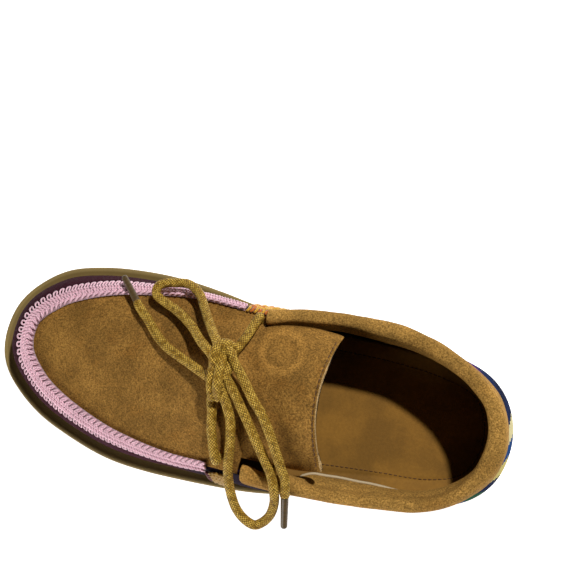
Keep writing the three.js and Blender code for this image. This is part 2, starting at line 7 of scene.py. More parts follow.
import bmesh
import bpy
import numpy as np
from bpy.props import FloatProperty, FloatVectorProperty, PointerProperty
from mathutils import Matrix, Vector, noise


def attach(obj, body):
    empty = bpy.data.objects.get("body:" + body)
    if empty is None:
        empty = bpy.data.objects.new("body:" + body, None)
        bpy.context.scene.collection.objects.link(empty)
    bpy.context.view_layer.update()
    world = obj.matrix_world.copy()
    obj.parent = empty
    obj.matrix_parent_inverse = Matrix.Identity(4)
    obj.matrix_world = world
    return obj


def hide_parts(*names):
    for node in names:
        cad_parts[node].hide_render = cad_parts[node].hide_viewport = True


bl_info = {
    "name": "Moccasin Shoe",
    "version": (1, 0, 0),
    "blender": (4, 5, 0),
    "location": "View3D > Sidebar > Moccasin",
    "description": "Builds a low moccasin shoe with a suede apron, crochet braid and laced bow",
    "category": "Add Mesh",
}

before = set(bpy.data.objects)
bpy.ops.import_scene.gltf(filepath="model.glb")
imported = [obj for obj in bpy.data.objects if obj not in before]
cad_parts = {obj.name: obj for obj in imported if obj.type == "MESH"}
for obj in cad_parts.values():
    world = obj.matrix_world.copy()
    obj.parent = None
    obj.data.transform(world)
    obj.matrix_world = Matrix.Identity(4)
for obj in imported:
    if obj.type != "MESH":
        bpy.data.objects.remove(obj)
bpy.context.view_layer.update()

MM = 0.001
MERGE = 1e-7  # points nearer than this are one

# The last, as in the part's source, in millimetres
SOLE_LENGTH = 270
BALL_WIDTH = 105
INSTEP_HEIGHT = 81
HEEL_HEIGHT = 59
HEEL_REST = 38
HEEL_SOLE, FOREFOOT_SOLE = 18, 12
REAR_LEDGE, LATERAL_LEDGE, MEDIAL_LEDGE = 2.5, 6, 4.8
WALL = 2.2
CLEARANCE = 0.3
TOE_SPRING, ARCH, HEEL_SPRING = 8, 1.5, 1.5
TONGUE_HOLLOW = 6
COLLAR_OUTER, COLLAR_INNER = 4.2, 2.7
COLLAR_RISE, COLLAR_CROWN = 3.5, 5.5
COLLAR_SLOT = 0.4
COLLAR_TAPER_ROW, COLLAR_END_ROW = 6, 6.9
THROAT_ROW, TOE_ROW = 7, 16
BRAID_LATERAL_ROW, BRAID_MEDIAL_ROW = 8, 7 + 2 / 3
# How far the braid reaches over the suede and down the wall
TOE_REACH, LATERAL_REACH, MEDIAL_REACH = (5.3, 4.6), (2.4, 3.7), (1.4, 3.9)
LACE = 4.5
AGLET, AGLET_LENGTH = 3.3, 17

# along, lateral, medial, inset on the two sides, belly, rise and front, from heel to toe
LAST = [
    (0.0, 0.01, -0.01, 0.091, 0.091, 0.066, 1.0, 0),
    (0.015, 0.19, 0.171, 0.092, 0.094, 0.053, 0.993, 0),
    (0.059, 0.319, 0.295, 0.088, 0.091, 0.042, 0.958, 0),
    (0.133, 0.381, 0.362, 0.044, 0.05, 0.04, 0.924, 0),
    (0.222, 0.405, 0.395, 0.037, 0.021, 0.04, 0.907, 0),
    (0.315, 0.429, 0.41, 0.051, 0.028, 0.036, 0.949, 0),
    (0.4, 0.455, 0.419, 0.083, 0.052, 0.03, 0.987, 0.15),
    (0.461, 0.472, 0.433, 0.107, 0.082, 0.024, 0.958, 0.45),
    (0.519, 0.479, 0.45, 0.123, 0.082, 0.006, 0.838, 0.9),
    (0.593, 0.479, 0.489, 0.126, 0.098, -0.004, 0.716, 1),
    (0.678, 0.47, 0.523, 0.143, 0.132, -0.01, 0.63, 1),
    (0.759, 0.44, 0.53, 0.159, 0.152, -0.014, 0.58, 1),
    (0.837, 0.371, 0.513, 0.164, 0.177, -0.02, 0.543, 1),
    (0.904, 0.286, 0.466, 0.174, 0.197, -0.028, 0.525, 1),
    (0.956, 0.176, 0.367, 0.185, 0.196, -0.028, 0.519, 1),
    (0.989, 0.059, 0.24, 0.196, 0.194, -0.028, 0.512, 1),
    (1.0, -0.08, 0.08, 0.196, 0.196, -0.028, 0.512, 1),
]
# along, lateral, medial, centre and edge height of the tongue, from the throat back
TONGUE = [
    (0.462, 0.29, 0.287, 1.0, 0.88),
    (0.43, 0.295, 0.292, 1.035, 0.835),
    (0.393, 0.301, 0.297, 1.065, 0.8),
    (0.36, 0.302, 0.304, 1.09, 0.788),
    (0.323, 0.291, 0.31, 1.108, 0.788),
]
LATERAL_PATCH = [
    (7.93, 0.55, 0.9), (7.75, 0.4, 0.96), (7.5, 0.3, 0.96), (7.25, 0.34, 0.93), (7.08, 0.46, 0.84),
]  # fmt: skip
MEDIAL_PATCH = [
    (7.6, 0.74, 0.92), (7.4, 0.62, 0.95), (7.15, 0.5, 0.9), (7.0, 0.44, 0.72), (6.75, 0.44, 0.72),
    (6.5, 0.54, 0.7),
]  # fmt: skip

# Routes of the free lace, each from the knot outwards, from the back of the heel
TOE_LOOP = [
    (140.8, -10.4, 90), (144.1, -13.6, 88.6), (151.2, -18.8, 82.2), (156.7, -24, 76.2),
    (163.4, -29, 70.4), (170.4, -33, 65.5), (177, -35.9, 62.2), (181.6, -38.8, 60.2),
    (181.9, -42.2, 60), (179.3, -44.7, 59.8), (173.6, -45.8, 60.2), (167.5, -46.3, 61.8),
    (162.6, -44.5, 64.6), (158.5, -40.9, 67), (154.7, -35.4, 71.4), (150.4, -29.2, 77.2),
    (145.9, -23.4, 83.5), (142.3, -19.2, 89), (139.8, -14.5, 91.8),
]  # fmt: skip
TOE_END = [
    (137.9, -1.3, 91), (141.4, -2, 88.1), (148.5, -4.9, 82.6), (155.5, -7.8, 77.8),
    (162.4, -10.7, 73.8), (169.6, -14.2, 70.1), (176.1, -19.1, 66.4), (182.3, -25.3, 62.4),
    (188.2, -30.6, 59.3), (191, -33.7, 57.8),
]  # fmt: skip
LATERAL_LOOP = [
    (135, -4, 92), (132, -0.5, 90.5), (127.4, 6.4, 87.4), (122.7, 13.3, 85.5), (118, 20.8, 82.7),
    (113.4, 28.3, 78.5), (109.3, 35, 75), (107, 42, 72), (106.3, 47.8, 66.8), (107.9, 54.6, 61.5),
    (111.4, 58.8, 59), (114.5, 60.4, 58.5), (119.2, 58.8, 59), (123.6, 54.8, 61), (126.5, 49.4, 64),
    (128.6, 42.5, 68.2), (129.5, 35.4, 73.4), (129.4, 28.3, 77.8), (129.6, 21.4, 81.4),
    (130.4, 14.7, 84.2), (132.1, 9.9, 86.3), (134.4, 4.8, 88.7), (136.3, 1.1, 90),
]  # fmt: skip
HEEL_END = [
    (139.1, -10.1, 91), (136.1, -16, 92.6), (131.9, -10.7, 91.7), (128, -5.7, 90.5), (120.9, 4, 89.7),
    (116.3, 9.5, 88.9), (112.2, 16, 86.7), (108.5, 23.6, 82.7), (105, 31.4, 77), (102.7, 36.6, 73.2),
    (102.1, 40.5, 71.1), (101.8, 44, 69),
]  # fmt: skip
BARS = [
    (130.7, -24.6, 79.6), (134.5, -16.4, 82.2), (138.8, -3.9, 83.9), (140.8, 6.3, 83.9),
    (139.7, 11.7, 83), (138.9, 19.9, 80.4),
]  # fmt: skip
EYELETS = [(0.4744, -0.3143), (0.5, 0.3029)]  # along and across, shares of the sole
EYELET_HEIGHTS = (-5, 0, 3.6)
KNOT_STRANDS = [
    [(134.6, -15.6, 84), (135.2, -18, 88), (137.8, -18.9, 91.8), (140.3, -16.9, 93.8), (141.4, -13.4, 94),
     (141.2, -9.6, 92.8), (140.6, -6, 90.2)],
    [(137.6, -14, 90.2), (137.6, -10.4, 93.8), (137.5, -5.6, 95), (137.6, -0.9, 94.6), (137.4, 2.9, 92),
     (137, 5.6, 88.2)],
    [(141.5, -7.4, 90.4), (141.3, -2.2, 91.6), (140.4, 2.6, 91), (139.4, 6.4, 88.4)],
    [(134.6, -16.4, 88.6), (134.3, -10.6, 90.4), (135.2, -4.6, 91.2), (136.6, 1, 90.2)],
]  # fmt: skip


def clamp(x, low=0.0, high=1.0):
    return max(low, min(high, x))


def mix(a, b, t):
    return a + (b - a) * t


def smooth(x, start, end):
    t = clamp((x - start) / (end - start))
    return t * t * (3 - 2 * t)


def spline(a, b, c, d, t):
    """The Catmull-Rom curve's value at t, from b at 0 to c at 1."""
    return 0.5 * (2 * b + (c - a) * t + (2 * a - 5 * b + 4 * c - d) * t * t + (3 * b - a - 3 * c + d) * t**3)


def reach_along(line):
    """Distance along a line from its start, at each of its points."""
    return np.concatenate([[0], np.cumsum(np.linalg.norm(np.diff(line, axis=0), axis=1))])


def linear(*rgb):
    """A colour given as 0 to 255, in linear light."""
    return tuple(c / 255 / 12.92 if c <= 10 else ((c / 255 + 0.055) / 1.055) ** 2.4 for c in rgb)


def row(point):
    """A point in millimetres from the back of the heel, in the row frame in metres."""
    return Vector(((point[0] - HEEL_REST) * MM, point[1] * MM, point[2] * MM))


# The last's surfaces

ROWS = 2 * TOE_ROW
KEYS = ("x", "y", "inset", "belly", "rise", "front")


def last_row(k):
    """Lengths at row k once round the shoe: out along the lateral side, back along the medial one."""
    lateral = k <= TOE_ROW
    along, out, inner, in_lateral, in_medial, belly, rise, front = LAST[k if lateral else ROWS - k]
    return (
        along * SOLE_LENGTH,
        (out if lateral else -inner) * BALL_WIDTH,
        (in_lateral if lateral else in_medial) * BALL_WIDTH,
        belly * BALL_WIDTH,
        rise * mix(HEEL_HEIGHT, INSTEP_HEIGHT, front),
        front,
    )


RING = {key: [last_row(k)[i] for k in range(ROWS)] for i, key in enumerate(KEYS)}


def around(key, u):
    """One of the last's lengths at station u round the shoe."""
    k = math.floor(u)
    return spline(*(RING[key][(k + j) % ROWS] for j in (-1, 0, 1, 2)), u - k)


def under(x):
    """Height of the sole's underside."""
    share = x / SOLE_LENGTH
    spring = TOE_SPRING * max(0, (share - 0.72) / 0.28) ** 2
    arch = ARCH * math.sin(math.pi * clamp((share - 0.34) / 0.2)) ** 2
    return spring + arch + HEEL_SPRING * max(0, (0.05 - share) / 0.05)


def sole_top(x):
    return under(max(x, 0.05 * SOLE_LENGTH)) + mix(
        HEEL_SOLE, FOREFOOT_SOLE, smooth(x, 0.2 * SOLE_LENGTH, 0.72 * SOLE_LENGTH)
    )


@lru_cache(maxsize=None)
def outward(u):
    step = 0.02
    dx = around("x", u + step) - around("x", u - step)
    dy = around("y", u + step) - around("y", u - step)
    return Vector((-dy, dx, 0)).normalized()


def outline(u, inset):
    return Vector((around("x", u), around("y", u), 0)) - outward(u) * inset


def ledge(u):
    lateral = smooth(around("y", u), -0.25 * BALL_WIDTH, 0.25 * BALL_WIDTH)
    return mix(REAR_LEDGE, mix(MEDIAL_LEDGE, LATERAL_LEDGE, lateral), around("front", u))


@lru_cache(maxsize=None)
def wall_curve(u):
    front, inset, out = around("front", u), around("inset", u), outward(u)
    base = outline(u, ledge(u))
    base.z = sole_top(base.x) + CLEARANCE
    rim = outline(u, inset)
    rim.z = around("rise", u)
    height = rim.z - base.z
    low = base + out * around("belly", u) + Vector((0, 0, 0.45 * height))
    high = rim + out * 0.6 * (inset - ledge(u)) - Vector((0, 0, mix(0.5, 0.15, front) * height))
    return base, low, high, rim


def wall(u, level):
    a, b, c, d = wall_curve(u)
    s = 1 - level
    return a * s**3 + b * 3 * s * s * level + c * 3 * s * level**2 + d * level**3


def wall_up(u, level):
    a, b, c, d = wall_curve(u)
    s = 1 - level
    return ((b - a) * s * s + (c - b) * 2 * s * level + (d - c) * level * level).normalized()


def wall_out(u, level):
    along = wall(u + 0.02, level) - wall(u - 0.02, level)
    return -along.cross(wall_up(u, level)).normalized()


FINE = [THROAT_ROW + (TOE_ROW - THROAT_ROW) * i / 108 for i in range(109)]
LATERAL_RIM = np.array([wall(u, 1) for u in FINE])
MEDIAL_RIM = np.array([wall(ROWS - u, 1) for u in FINE])
THROAT, TIP = LATERAL_RIM[0], LATERAL_RIM[-1]
APRON_CROWN = INSTEP_HEIGHT - THROAT[2]


def apron_height(x, y):
    """Height of the suede over the forefoot."""
    inside = min(x, TIP[0] - 0.5)
    ly, lz, my, mz = (
        float(np.interp(inside, rim[:, 0], rim[:, i])) for rim in (LATERAL_RIM, MEDIAL_RIM) for i in (1, 2)
    )
    across = clamp((2 * y - ly - my) / (ly - my), -1, 1)
    to_toe = clamp((x - THROAT[0]) / (TIP[0] - THROAT[0]))
    return mix(mz, lz, (across + 1) / 2) + APRON_CROWN * (1 - to_toe**1.8) * (1 - across * across)


def apron_normal(x, y):
    slope_x = (apron_height(x + 1, y) - apron_height(x - 1, y)) / 2
    slope_y = (apron_height(x, y + 1) - apron_height(x, y - 1)) / 2
    return Vector((-slope_x, -slope_y, 1)).normalized()


def apron(x, y, height=0.0):
    return Vector((x, y, apron_height(x, y))) + apron_normal(x, y) * height


def over_seam(u, inwards):
    """A point over the apron (inwards above 0) or down the wall from the seam, in millimetres."""
    if inwards <= 0:
        _, _, c, d = wall_curve(u)
        return wall(u, 1 + inwards / (3 * (d - c).length))
    point = wall(u, 1) - outward(u) * inwards
    point.z = apron_height(point.x, point.y)
    return point


def seam_normal(u, inwards):
    along = over_seam(u + 0.05, inwards) - over_seam(u - 0.05, inwards)
    across = over_seam(u, inwards + 0.4) - over_seam(u, inwards - 0.4)
    return -along.cross(across).normalized()


def braid_reach(u, share):
    toe = smooth(around("x", u), 0.5 * SOLE_LENGTH, 0.95 * SOLE_LENGTH)
    side = int(share < 0)
    return share * mix((LATERAL_REACH if u <= TOE_ROW else MEDIAL_REACH)[side], TOE_REACH[side], toe)


# Building meshes


def smooth_line(points, spacing):
    """Evenly spaced points on a centripetal Catmull-Rom curve."""
    p = [Vector(q) for q in points]
    p = [p[0] * 2 - p[1], *p, p[-1] * 2 - p[-2]]
    dense = [p[1]]
    for a, b, c, d in zip(p, p[1:], p[2:], p[3:]):
        t0, t1, t2 = (max((v - w).length ** 0.5, 1e-4) for v, w in ((b, a), (c, b), (d, c)))
        m1 = ((b - a) / t0 - (c - a) / (t0 + t1) + (c - b) / t1) * t1
        m2 = ((c - b) / t1 - (d - b) / (t1 + t2) + (d - c) / t2) * t1
        for k in range(1, 13):
            t = k / 12
            h = (2 * t**3 - 3 * t * t + 1, t**3 - 2 * t * t + t, -2 * t**3 + 3 * t * t, t**3 - t * t)
            dense.append(b * h[0] + m1 * h[1] + c * h[2] + m2 * h[3])
    line = np.array(dense)
    reach = reach_along(line)
    steps = max(2, round(reach[-1] / spacing))
    at = np.linspace(0, reach[-1], steps + 1)
    return [Vector(q) for q in np.stack([np.interp(at, reach, line[:, i]) for i in range(3)], 1)]


def add_grid(bm, columns, rows, place, uv=None, material=0):
    """Adds a grid whose point at (s, t), each from 0 to 1, goes to place(s, t). uv gives its map there."""
    layer = bm.loops.layers.uv.verify()
    made = bmesh.ops.create_grid(bm, x_segments=columns, y_segments=rows, size=0.5)["verts"]
    for face in {f for v in made for f in v.link_faces}:
        face.material_index, face.smooth = material, True
        for loop in face.loops:
            s, t = loop.vert.co.x + 0.5, loop.vert.co.y + 0.5
            loop[layer].uv = uv(s, t) if uv else (s, t)
    for vert in made:
        vert.co = place(vert.co.x + 0.5, vert.co.y + 0.5)
    return made


def add_strand(bm, points, radius, sides=8, spacing=None, material=0, flatten=1.0):
    """Adds a round cord or yarn along points in millimetres. Its map is length by turns."""
    line = smooth_line(points, spacing or radius)
    steps = len(line) - 1
    tangents = [(line[min(i + 1, steps)] - line[max(i - 1, 0)]).normalized() for i in range(steps + 1)]
    side = Vector((0, 0, 1)).cross(tangents[0])
    side = (side if side.length > 1e-3 else tangents[0].orthogonal()).normalized()
    sides_at = []
    for tangent in tangents:
        side = (side - tangent * side.dot(tangent)).normalized()
        sides_at.append(side)
    gap = (line[1] - line[0]).length

    def place(s, t):
        i = round(s * steps)
        angle = 2 * math.pi * t
        thick = radius(i / steps) if callable(radius) else radius
        across, over = sides_at[i], tangents[i].cross(sides_at[i])
        return row(line[i] + (across * math.cos(angle) + over * math.sin(angle) * flatten) * thick)

    made = add_grid(bm, steps, sides, place, lambda s, t: (s * steps * gap, t), material)
    bmesh.ops.remove_doubles(bm, verts=made, dist=MERGE)
    edges = list({e for v in made if v.is_valid for e in v.link_edges if e.is_boundary})
    bmesh.ops.holes_fill(bm, edges=edges, sides=0)


def face_outwards(bm):
    """Turns an open sheet's faces away from the middle of the shoe."""
    bm.normal_update()
    middle = Vector((0.092, 0, 0.02))
    if sum(f.normal.dot(f.calc_center_median() - middle) * f.calc_area() for f in bm.faces) < 0:
        bmesh.ops.reverse_faces(bm, faces=bm.faces)


def make_piece(bm, name, slot, materials, *nodes):
    """Finishes a bmesh as a piece that rides on the shoe and stands for its CAD nodes."""
    mesh = bpy.data.meshes.new(name)
    bm.to_mesh(mesh)
    bm.free()
    piece = bpy.data.objects.new(name, mesh)
    bpy.context.scene.collection.objects.link(piece)
    for material in materials:
        mesh.materials.append(material)
    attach(piece, "root")
    if nodes:
        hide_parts(*nodes)
    return piece


def closed_piece(bm, name, slot, materials, *nodes):
    bmesh.ops.remove_doubles(bm, verts=bm.verts, dist=MERGE)
    bmesh.ops.recalc_face_normals(bm, faces=bm.faces)
    return make_piece(bm, name, slot, materials, *nodes)


def thicken(piece, thickness, inner=0, rim=0):
    mod = piece.modifiers.new("Thickness", "SOLIDIFY")
    mod.thickness, mod.offset, mod.use_even_offset = thickness * MM, -1, True
    mod.material_offset, mod.material_offset_rim = inner, rim


def wave(point, size, seed=0):
    """A smooth random number from -1 to 1 that changes over size millimetres."""
    return noise.noise(Vector(point) / size + Vector((seed * 17.3, seed * 5.1, seed * 9.7)))


# Shader maths


class Wire:
    """A shader value that can stand in a Python expression."""

    def __init__(self, look, socket):
        self.look, self.socket = look, socket

    def math(self, operation, *values):
        return self.look.node("Math", {"operation": operation}, *values)

    def __abs__(self):
        return self.math("ABSOLUTE", self)

    def floor(self):
        return self.math("FLOOR", self)

    def sine(self):
        return self.math("SINE", self)


OPERATIONS = {
    "add": "ADD",
    "sub": "SUBTRACT",
    "mul": "MULTIPLY",
    "truediv": "DIVIDE",
    "mod": "FLOORED_MODULO",
    "pow": "POWER",
}
for symbol, operation in OPERATIONS.items():
    setattr(Wire, f"__{symbol}__", lambda a, b, kind=operation: a.math(kind, a, b))
    setattr(Wire, f"__r{symbol}__", lambda a, b, kind=operation: a.math(kind, b, a))


def toned(colour, *factors):
    """A colour times one factor, or one for each of its parts."""
    return tuple(min(1, c * k) for c, k in zip(colour, factors * (3 // len(factors))))


class Look:
    """A material in the making."""

    def __init__(self, name):
        self.material = bpy.data.materials.new(name)
        self.material.use_nodes = True
        self.tree = self.material.node_tree
        self.tree.nodes.clear()
        self.cache = {}

    def node(self, kind, settings=None, *inputs, out=0, **named):
        node = self.tree.nodes.new("ShaderNode" + kind)
        for key, value in (settings or {}).items():
            if key == "stops":
                ramp = node.color_ramp
                while len(ramp.elements) < len(value):
                    ramp.elements.new(1)
                for element, (at, colour) in zip(ramp.elements, value):
                    element.position, element.color = at, (*colour, 1)
            elif key == "interpolation":
                node.color_ramp.interpolation = value
            else:
                setattr(node, key, value)
        named_inputs = [(node.inputs[key.replace("_", " ")], value) for key, value in named.items()]
        for socket, value in [*zip(node.inputs, inputs), *named_inputs]:
            self.feed(socket, value)
        return Wire(self, node.outputs[out])

    def feed(self, socket, value):
        if isinstance(value, Wire):
            self.tree.links.new(value.socket, socket)
        elif value is not None:
            default = socket.default_value
            if hasattr(default, "__len__") and len(default) == 4 and len(value) == 3:
                value = (*value, 1)
            socket.default_value = value

    def place(self, output="Object"):
        """The piece's own coordinates, or its map."""
        if output not in self.cache:
            self.cache[output] = self.node("TexCoord", out={"Object": 3, "UV": 2}[output])
        return self.cache[output]

    def part(self, vector, axis):
        return self.node("SeparateXYZ", None, vector, out="xyz".index(axis))

    def noise(self, size, detail=3.0, rough=0.5, **more):
        """Noise whose features are about size millimetres across."""
        scale = 1 / (size * MM)
        return self.node("TexNoise", Vector=self.place(), Scale=scale, Detail=detail, Roughness=rough, **more)

    def ramp(self, value, stops, interpolation="LINEAR"):
        return self.node("ValToRGB", {"interpolation": interpolation, "stops": stops}, value)

    def range(self, value, low, high, to_low=0.0, to_high=1.0):
        return self.node("MapRange", {"interpolation_type": "SMOOTHSTEP"}, value, low, high, to_low, to_high)

    def blend(self, a, b, factor, mode="MIX"):
        node = self.tree.nodes.new("ShaderNodeMix")
        node.data_type, node.blend_type = "RGBA", mode
        for index, value in ((0, factor), (6, a), (7, b)):
            self.feed(node.inputs[index], value)
        return Wire(self, node.outputs[2])

    def shade(self, colour, factor):
        """A colour made lighter or darker by a number."""
        return self.node("VectorMath", {"operation": "SCALE"}, colour, Scale=factor)

    def finish(self, colour, roughness, height=None, depth=0.1, strength=1.0, **constants):
        """Ends the material. height is a relief from 0 to 1 that is depth millimetres deep."""
        normal = None
        if height is not None:
            normal = self.node("Bump", None, Strength=strength, Distance=depth * MM, Height=height)
        sockets = {"Base_Color": colour, "Roughness": roughness, "Normal": normal}
        surface = self.node("BsdfPrincipled", **sockets, **constants)
        output = self.tree.nodes.new("ShaderNodeOutputMaterial")
        self.tree.links.new(surface.socket, output.inputs[0])
        return self.material


RING_PLACE, RING_RADIUS = (0.0755, -0.0205, 0), 9.6  # of the fingertip's ring, in metres and millimetres
WALL_ROUND = 610  # once round the wall on its map
PLY_TWIST = 1.6  # along a yarn, from ply to ply


def suede_look(name, colour, blotch=1.0, brushed=False):
    """Brushed suede: a nap that lies in short strokes, with a fine grain, a wandering tone and painted
    highlights on the strokes.
    """
    look = Look(name)
    large = look.noise(17, 4, 0.6)
    strokes = look.noise(2.6, 3, 0.6, Distortion=2.2)
    grain = look.noise(0.8, 2, 0.6)
    fibre = look.noise(0.55, 2, 0.65, Distortion=0.8)
    nap = look.range(large * 0.8 + strokes * 0.2, 0.36, 0.64)
    tone = look.blend(toned(colour, 1 - 0.19 * blotch), toned(colour, 1 + 0.22 * blotch), nap)
    tone = look.blend(tone, toned(colour, 1.1, 0.88, 0.6), look.range(look.noise(11, 2), 0.5, 0.8) * 0.3)
    if brushed:
        # a ring left by a fingertip, where the nap lies the other way
        place = look.node("VectorMath", {"operation": "MULTIPLY"}, look.place(), (1, 1, 0))
        far = look.node("VectorMath", {"operation": "DISTANCE"}, place, RING_PLACE, out=1) / MM
        far = far + (strokes - 0.5) * 4
        ring = look.range(abs(far - RING_RADIUS), 3, 0.4) * 0.5 + look.range(far, 8, 3) * 0.35
        tone = look.blend(tone, toned(colour, 1.85), ring)
    # painted highlight: pale strokes where the nap catches the light, strongest in the lighter blotches
    pale = look.range(strokes, 0.54, 0.74) * look.range(large, 0.4, 0.62) * 0.6
    tone = look.blend(tone, toned(colour, 1.7, 1.75, 1.9), pale)
    speck = look.range(strokes * 0.15 + grain * 0.45 + fibre * 0.4, 0.37, 0.63)
    return look.finish(
        look.shade(tone, speck + 0.5), 0.95, grain * 0.5 + fibre * 0.5, depth=0.6, strength=0.9,
        Sheen_Weight=0.15, Sheen_Roughness=0.5, Sheen_Tint=toned(colour, 2), Specular_IOR_Level=0.1,
    )  # fmt: skip


def cloth_look(name, colours):
    """Plain weave on a wall's map: burgundy at the toe, purple at the instep, woven blocks at the heel.
    The map runs in millimetres from the back of the heel, and up the wall."""
    look = Look(name)
    toe, instep, *blocks = colours
    uv = look.place("UV")
    along, up = look.part(uv, "x"), look.part(uv, "y")
    thread, step_height, step_length = 0.61, 2.0, 1.8
    turns = 2 * math.pi / thread
    weave = (along * turns).sine() * (up * turns).sine() * 0.5 + 0.5
    # the blocks' edges step along as they go up, as in a slit weave, and come back after eight steps
    step = abs((up / step_height).floor() % 8 - 4) * step_length
    turn = ((along + step - 2 * step_length) / (WALL_ROUND / 6)) % 1
    stops = [(i / len(blocks), colour) for i, colour in enumerate(blocks)]
    heel = look.ramp(turn, stops, "CONSTANT")
    far = WALL_ROUND / 2 - abs(along - WALL_ROUND / 2)
    front = look.blend(instep, toe, look.range(far, 165, 185))
    cloth = look.blend(heel, front, look.range(far, 112, 118))
    fleck = look.noise(1.5, 2)
    colour = look.shade(cloth, 0.5 + weave * 0.5 + fleck * 0.4)
    return look.finish(colour, 0.95, weave, depth=0.18, strength=0.7, Specular_IOR_Level=0.08)


def lining_look(name, colour):
    look = Look(name)
    rub = look.noise(5, 4)
    weave = look.noise(0.7, 2)
    tone = look.shade(colour, 0.7 + rub * 0.5 + weave * 0.2)
    return look.finish(tone, 0.92, weave, depth=0.15, strength=0.5)


def yarn_look(name, colour, dark=0.5):
    """Spun yarn on a strand's map: plies that run round it, with painted shade in the grooves between them.
    """
    look = Look(name)
    uv = look.place("UV")
    along, turn = look.part(uv, "x"), look.part(uv, "y")
    ply = ((along / PLY_TWIST + turn * 2) * (2 * math.pi)).sine() * 0.5 + 0.5
    fuzz = look.noise(0.5, 3)
    drift = look.noise(9, 2)
    # painted shade: the grooves between the plies are darkened by the factor dark
    tone = look.blend(toned(colour, dark), colour, ply * 0.55 + 0.45)
    tone = look.shade(tone, 0.72 + fuzz * 0.3 + drift * 0.26)
    relief = ply * 0.7 + fuzz * 0.3
    return look.finish(
        tone, 0.75, relief, depth=0.2, strength=0.6, Sheen_Weight=0.35, Specular_IOR_Level=0.3
    )


def lace_look(name, colour, fleck, shadow):
    """Round braided cord: two sets of yarns that cross, with painted shade in their grooves, patches of
    darker yarn and bright flecks on the ridges that are partly painted highlight.
    """
    look = Look(name)
    uv = look.place("UV")
    along, turn = look.part(uv, "x"), look.part(uv, "y")
    pitch, carriers = 1.5, 10
    left = turn * carriers + along / pitch
    right = turn * carriers - along / pitch
    crossing = (left.floor() + right.floor()) % 2
    ridge_left = 1 - abs(left % 1 - 0.5) * 2
    ridge_right = 1 - abs(right % 1 - 0.5) * 2
    relief = (ridge_left * crossing + ridge_right * (1 - crossing)) ** 0.6
    # painted shade: the grooves between the yarns take the dark colour
    tone = look.blend(shadow, colour, look.range(relief, 0.15, 0.7))
    # bright yarn laid on the ridge tops in places: partly a painted highlight
    tone = look.blend(tone, fleck, look.range(relief, 0.62, 0.95) * look.range(look.noise(2.2, 2), 0.35, 0.6))
    # patches of darker yarn, in the same dark colour
    tone = look.blend(tone, shadow, look.range(look.noise(1.3, 2), 0.56, 0.66) * 0.6)
    worn = look.noise(14, 2) * 0.3 + 0.85
    tone = look.shade(tone, worn)
    return look.finish(tone, 0.65, relief, depth=0.22, strength=0.8, Specular_IOR_Level=0.22)


def rubber_look(name, colour, strip):
    """Foam rubber: a lighter edge, a darker strip beside the wall and a fine crumb. The map's height is
    0 at the sole's edge and grows inwards over the ledge."""
    look = Look(name)
    inwards = look.part(look.place("UV"), "y")
    crumb = look.noise(0.8, 3, 0.65)
    smear = look.noise(11, 3)
    tone = look.blend(colour, strip, look.range(inwards + (smear - 0.5) * 0.8, 2.0, 3.0))
    colour_out = look.shade(tone, 0.7 + smear * 0.35 + crumb * 0.25)
    rough = 0.62 + smear * 0.2
    return look.finish(colour_out, rough, crumb, depth=0.2, strength=0.5, Specular_IOR_Level=0.3)


def leather_look(name, colour):
    """Smooth insole leather with a fine grain and rubbed places."""
    look = Look(name)
    scale = 1 / (1.3 * MM)
    cells = look.node("TexVoronoi", {"feature": "DISTANCE_TO_EDGE"}, Vector=look.place(), Scale=scale)
    rub = look.noise(22, 3)
    fine = look.noise(1.4, 3)
    tone = look.blend(toned(colour, 0.8), toned(colour, 1.12), look.range(rub, 0.35, 0.65))
    grain = look.range(cells, 0, 0.12) * 0.6 + fine * 0.4
    tone = look.shade(tone, 0.78 + fine * 0.4)
    rough = 0.6 + rub * 0.2
    return look.finish(tone, rough, grain, depth=0.08, strength=0.4, Specular_IOR_Level=0.15)


def tip_look(name, colour):
    """Brown film shrunk on the lace's end: glossy, with the cord showing through."""
    look = Look(name)
    along = look.part(look.place("UV"), "x")
    ribs = (along * (2 * math.pi / 2.1)).sine() * 0.5 + 0.5
    streak = look.noise(1.6, 2)
    return look.finish(
        look.shade(colour, 0.65 + ribs * 0.2 + streak * 0.45), 0.45, ribs, depth=0.05, strength=0.4,
        Coat_Weight=0.08, Coat_Roughness=0.3, Specular_IOR_Level=0.25,
    )  # fmt: skip


def thread_look(name, colour):
    look = Look(name)
    ply = (look.part(look.place("UV"), "x") * (2 * math.pi / 0.5)).sine() * 0.5 + 0.5
    return look.finish(look.shade(colour, 0.8 + ply * 0.3), 0.7, ply, depth=0.05, strength=0.5)


# Colours of the woven blocks, from the back of the heel round
HEEL_BLOCKS = [
    (18, 66, 124), (214, 198, 120), (18, 32, 70), (34, 84, 60), (20, 72, 130),
    (84, 32, 112), (18, 34, 76), (14, 24, 54), (18, 32, 70), (220, 208, 156),
]  # fmt: skip


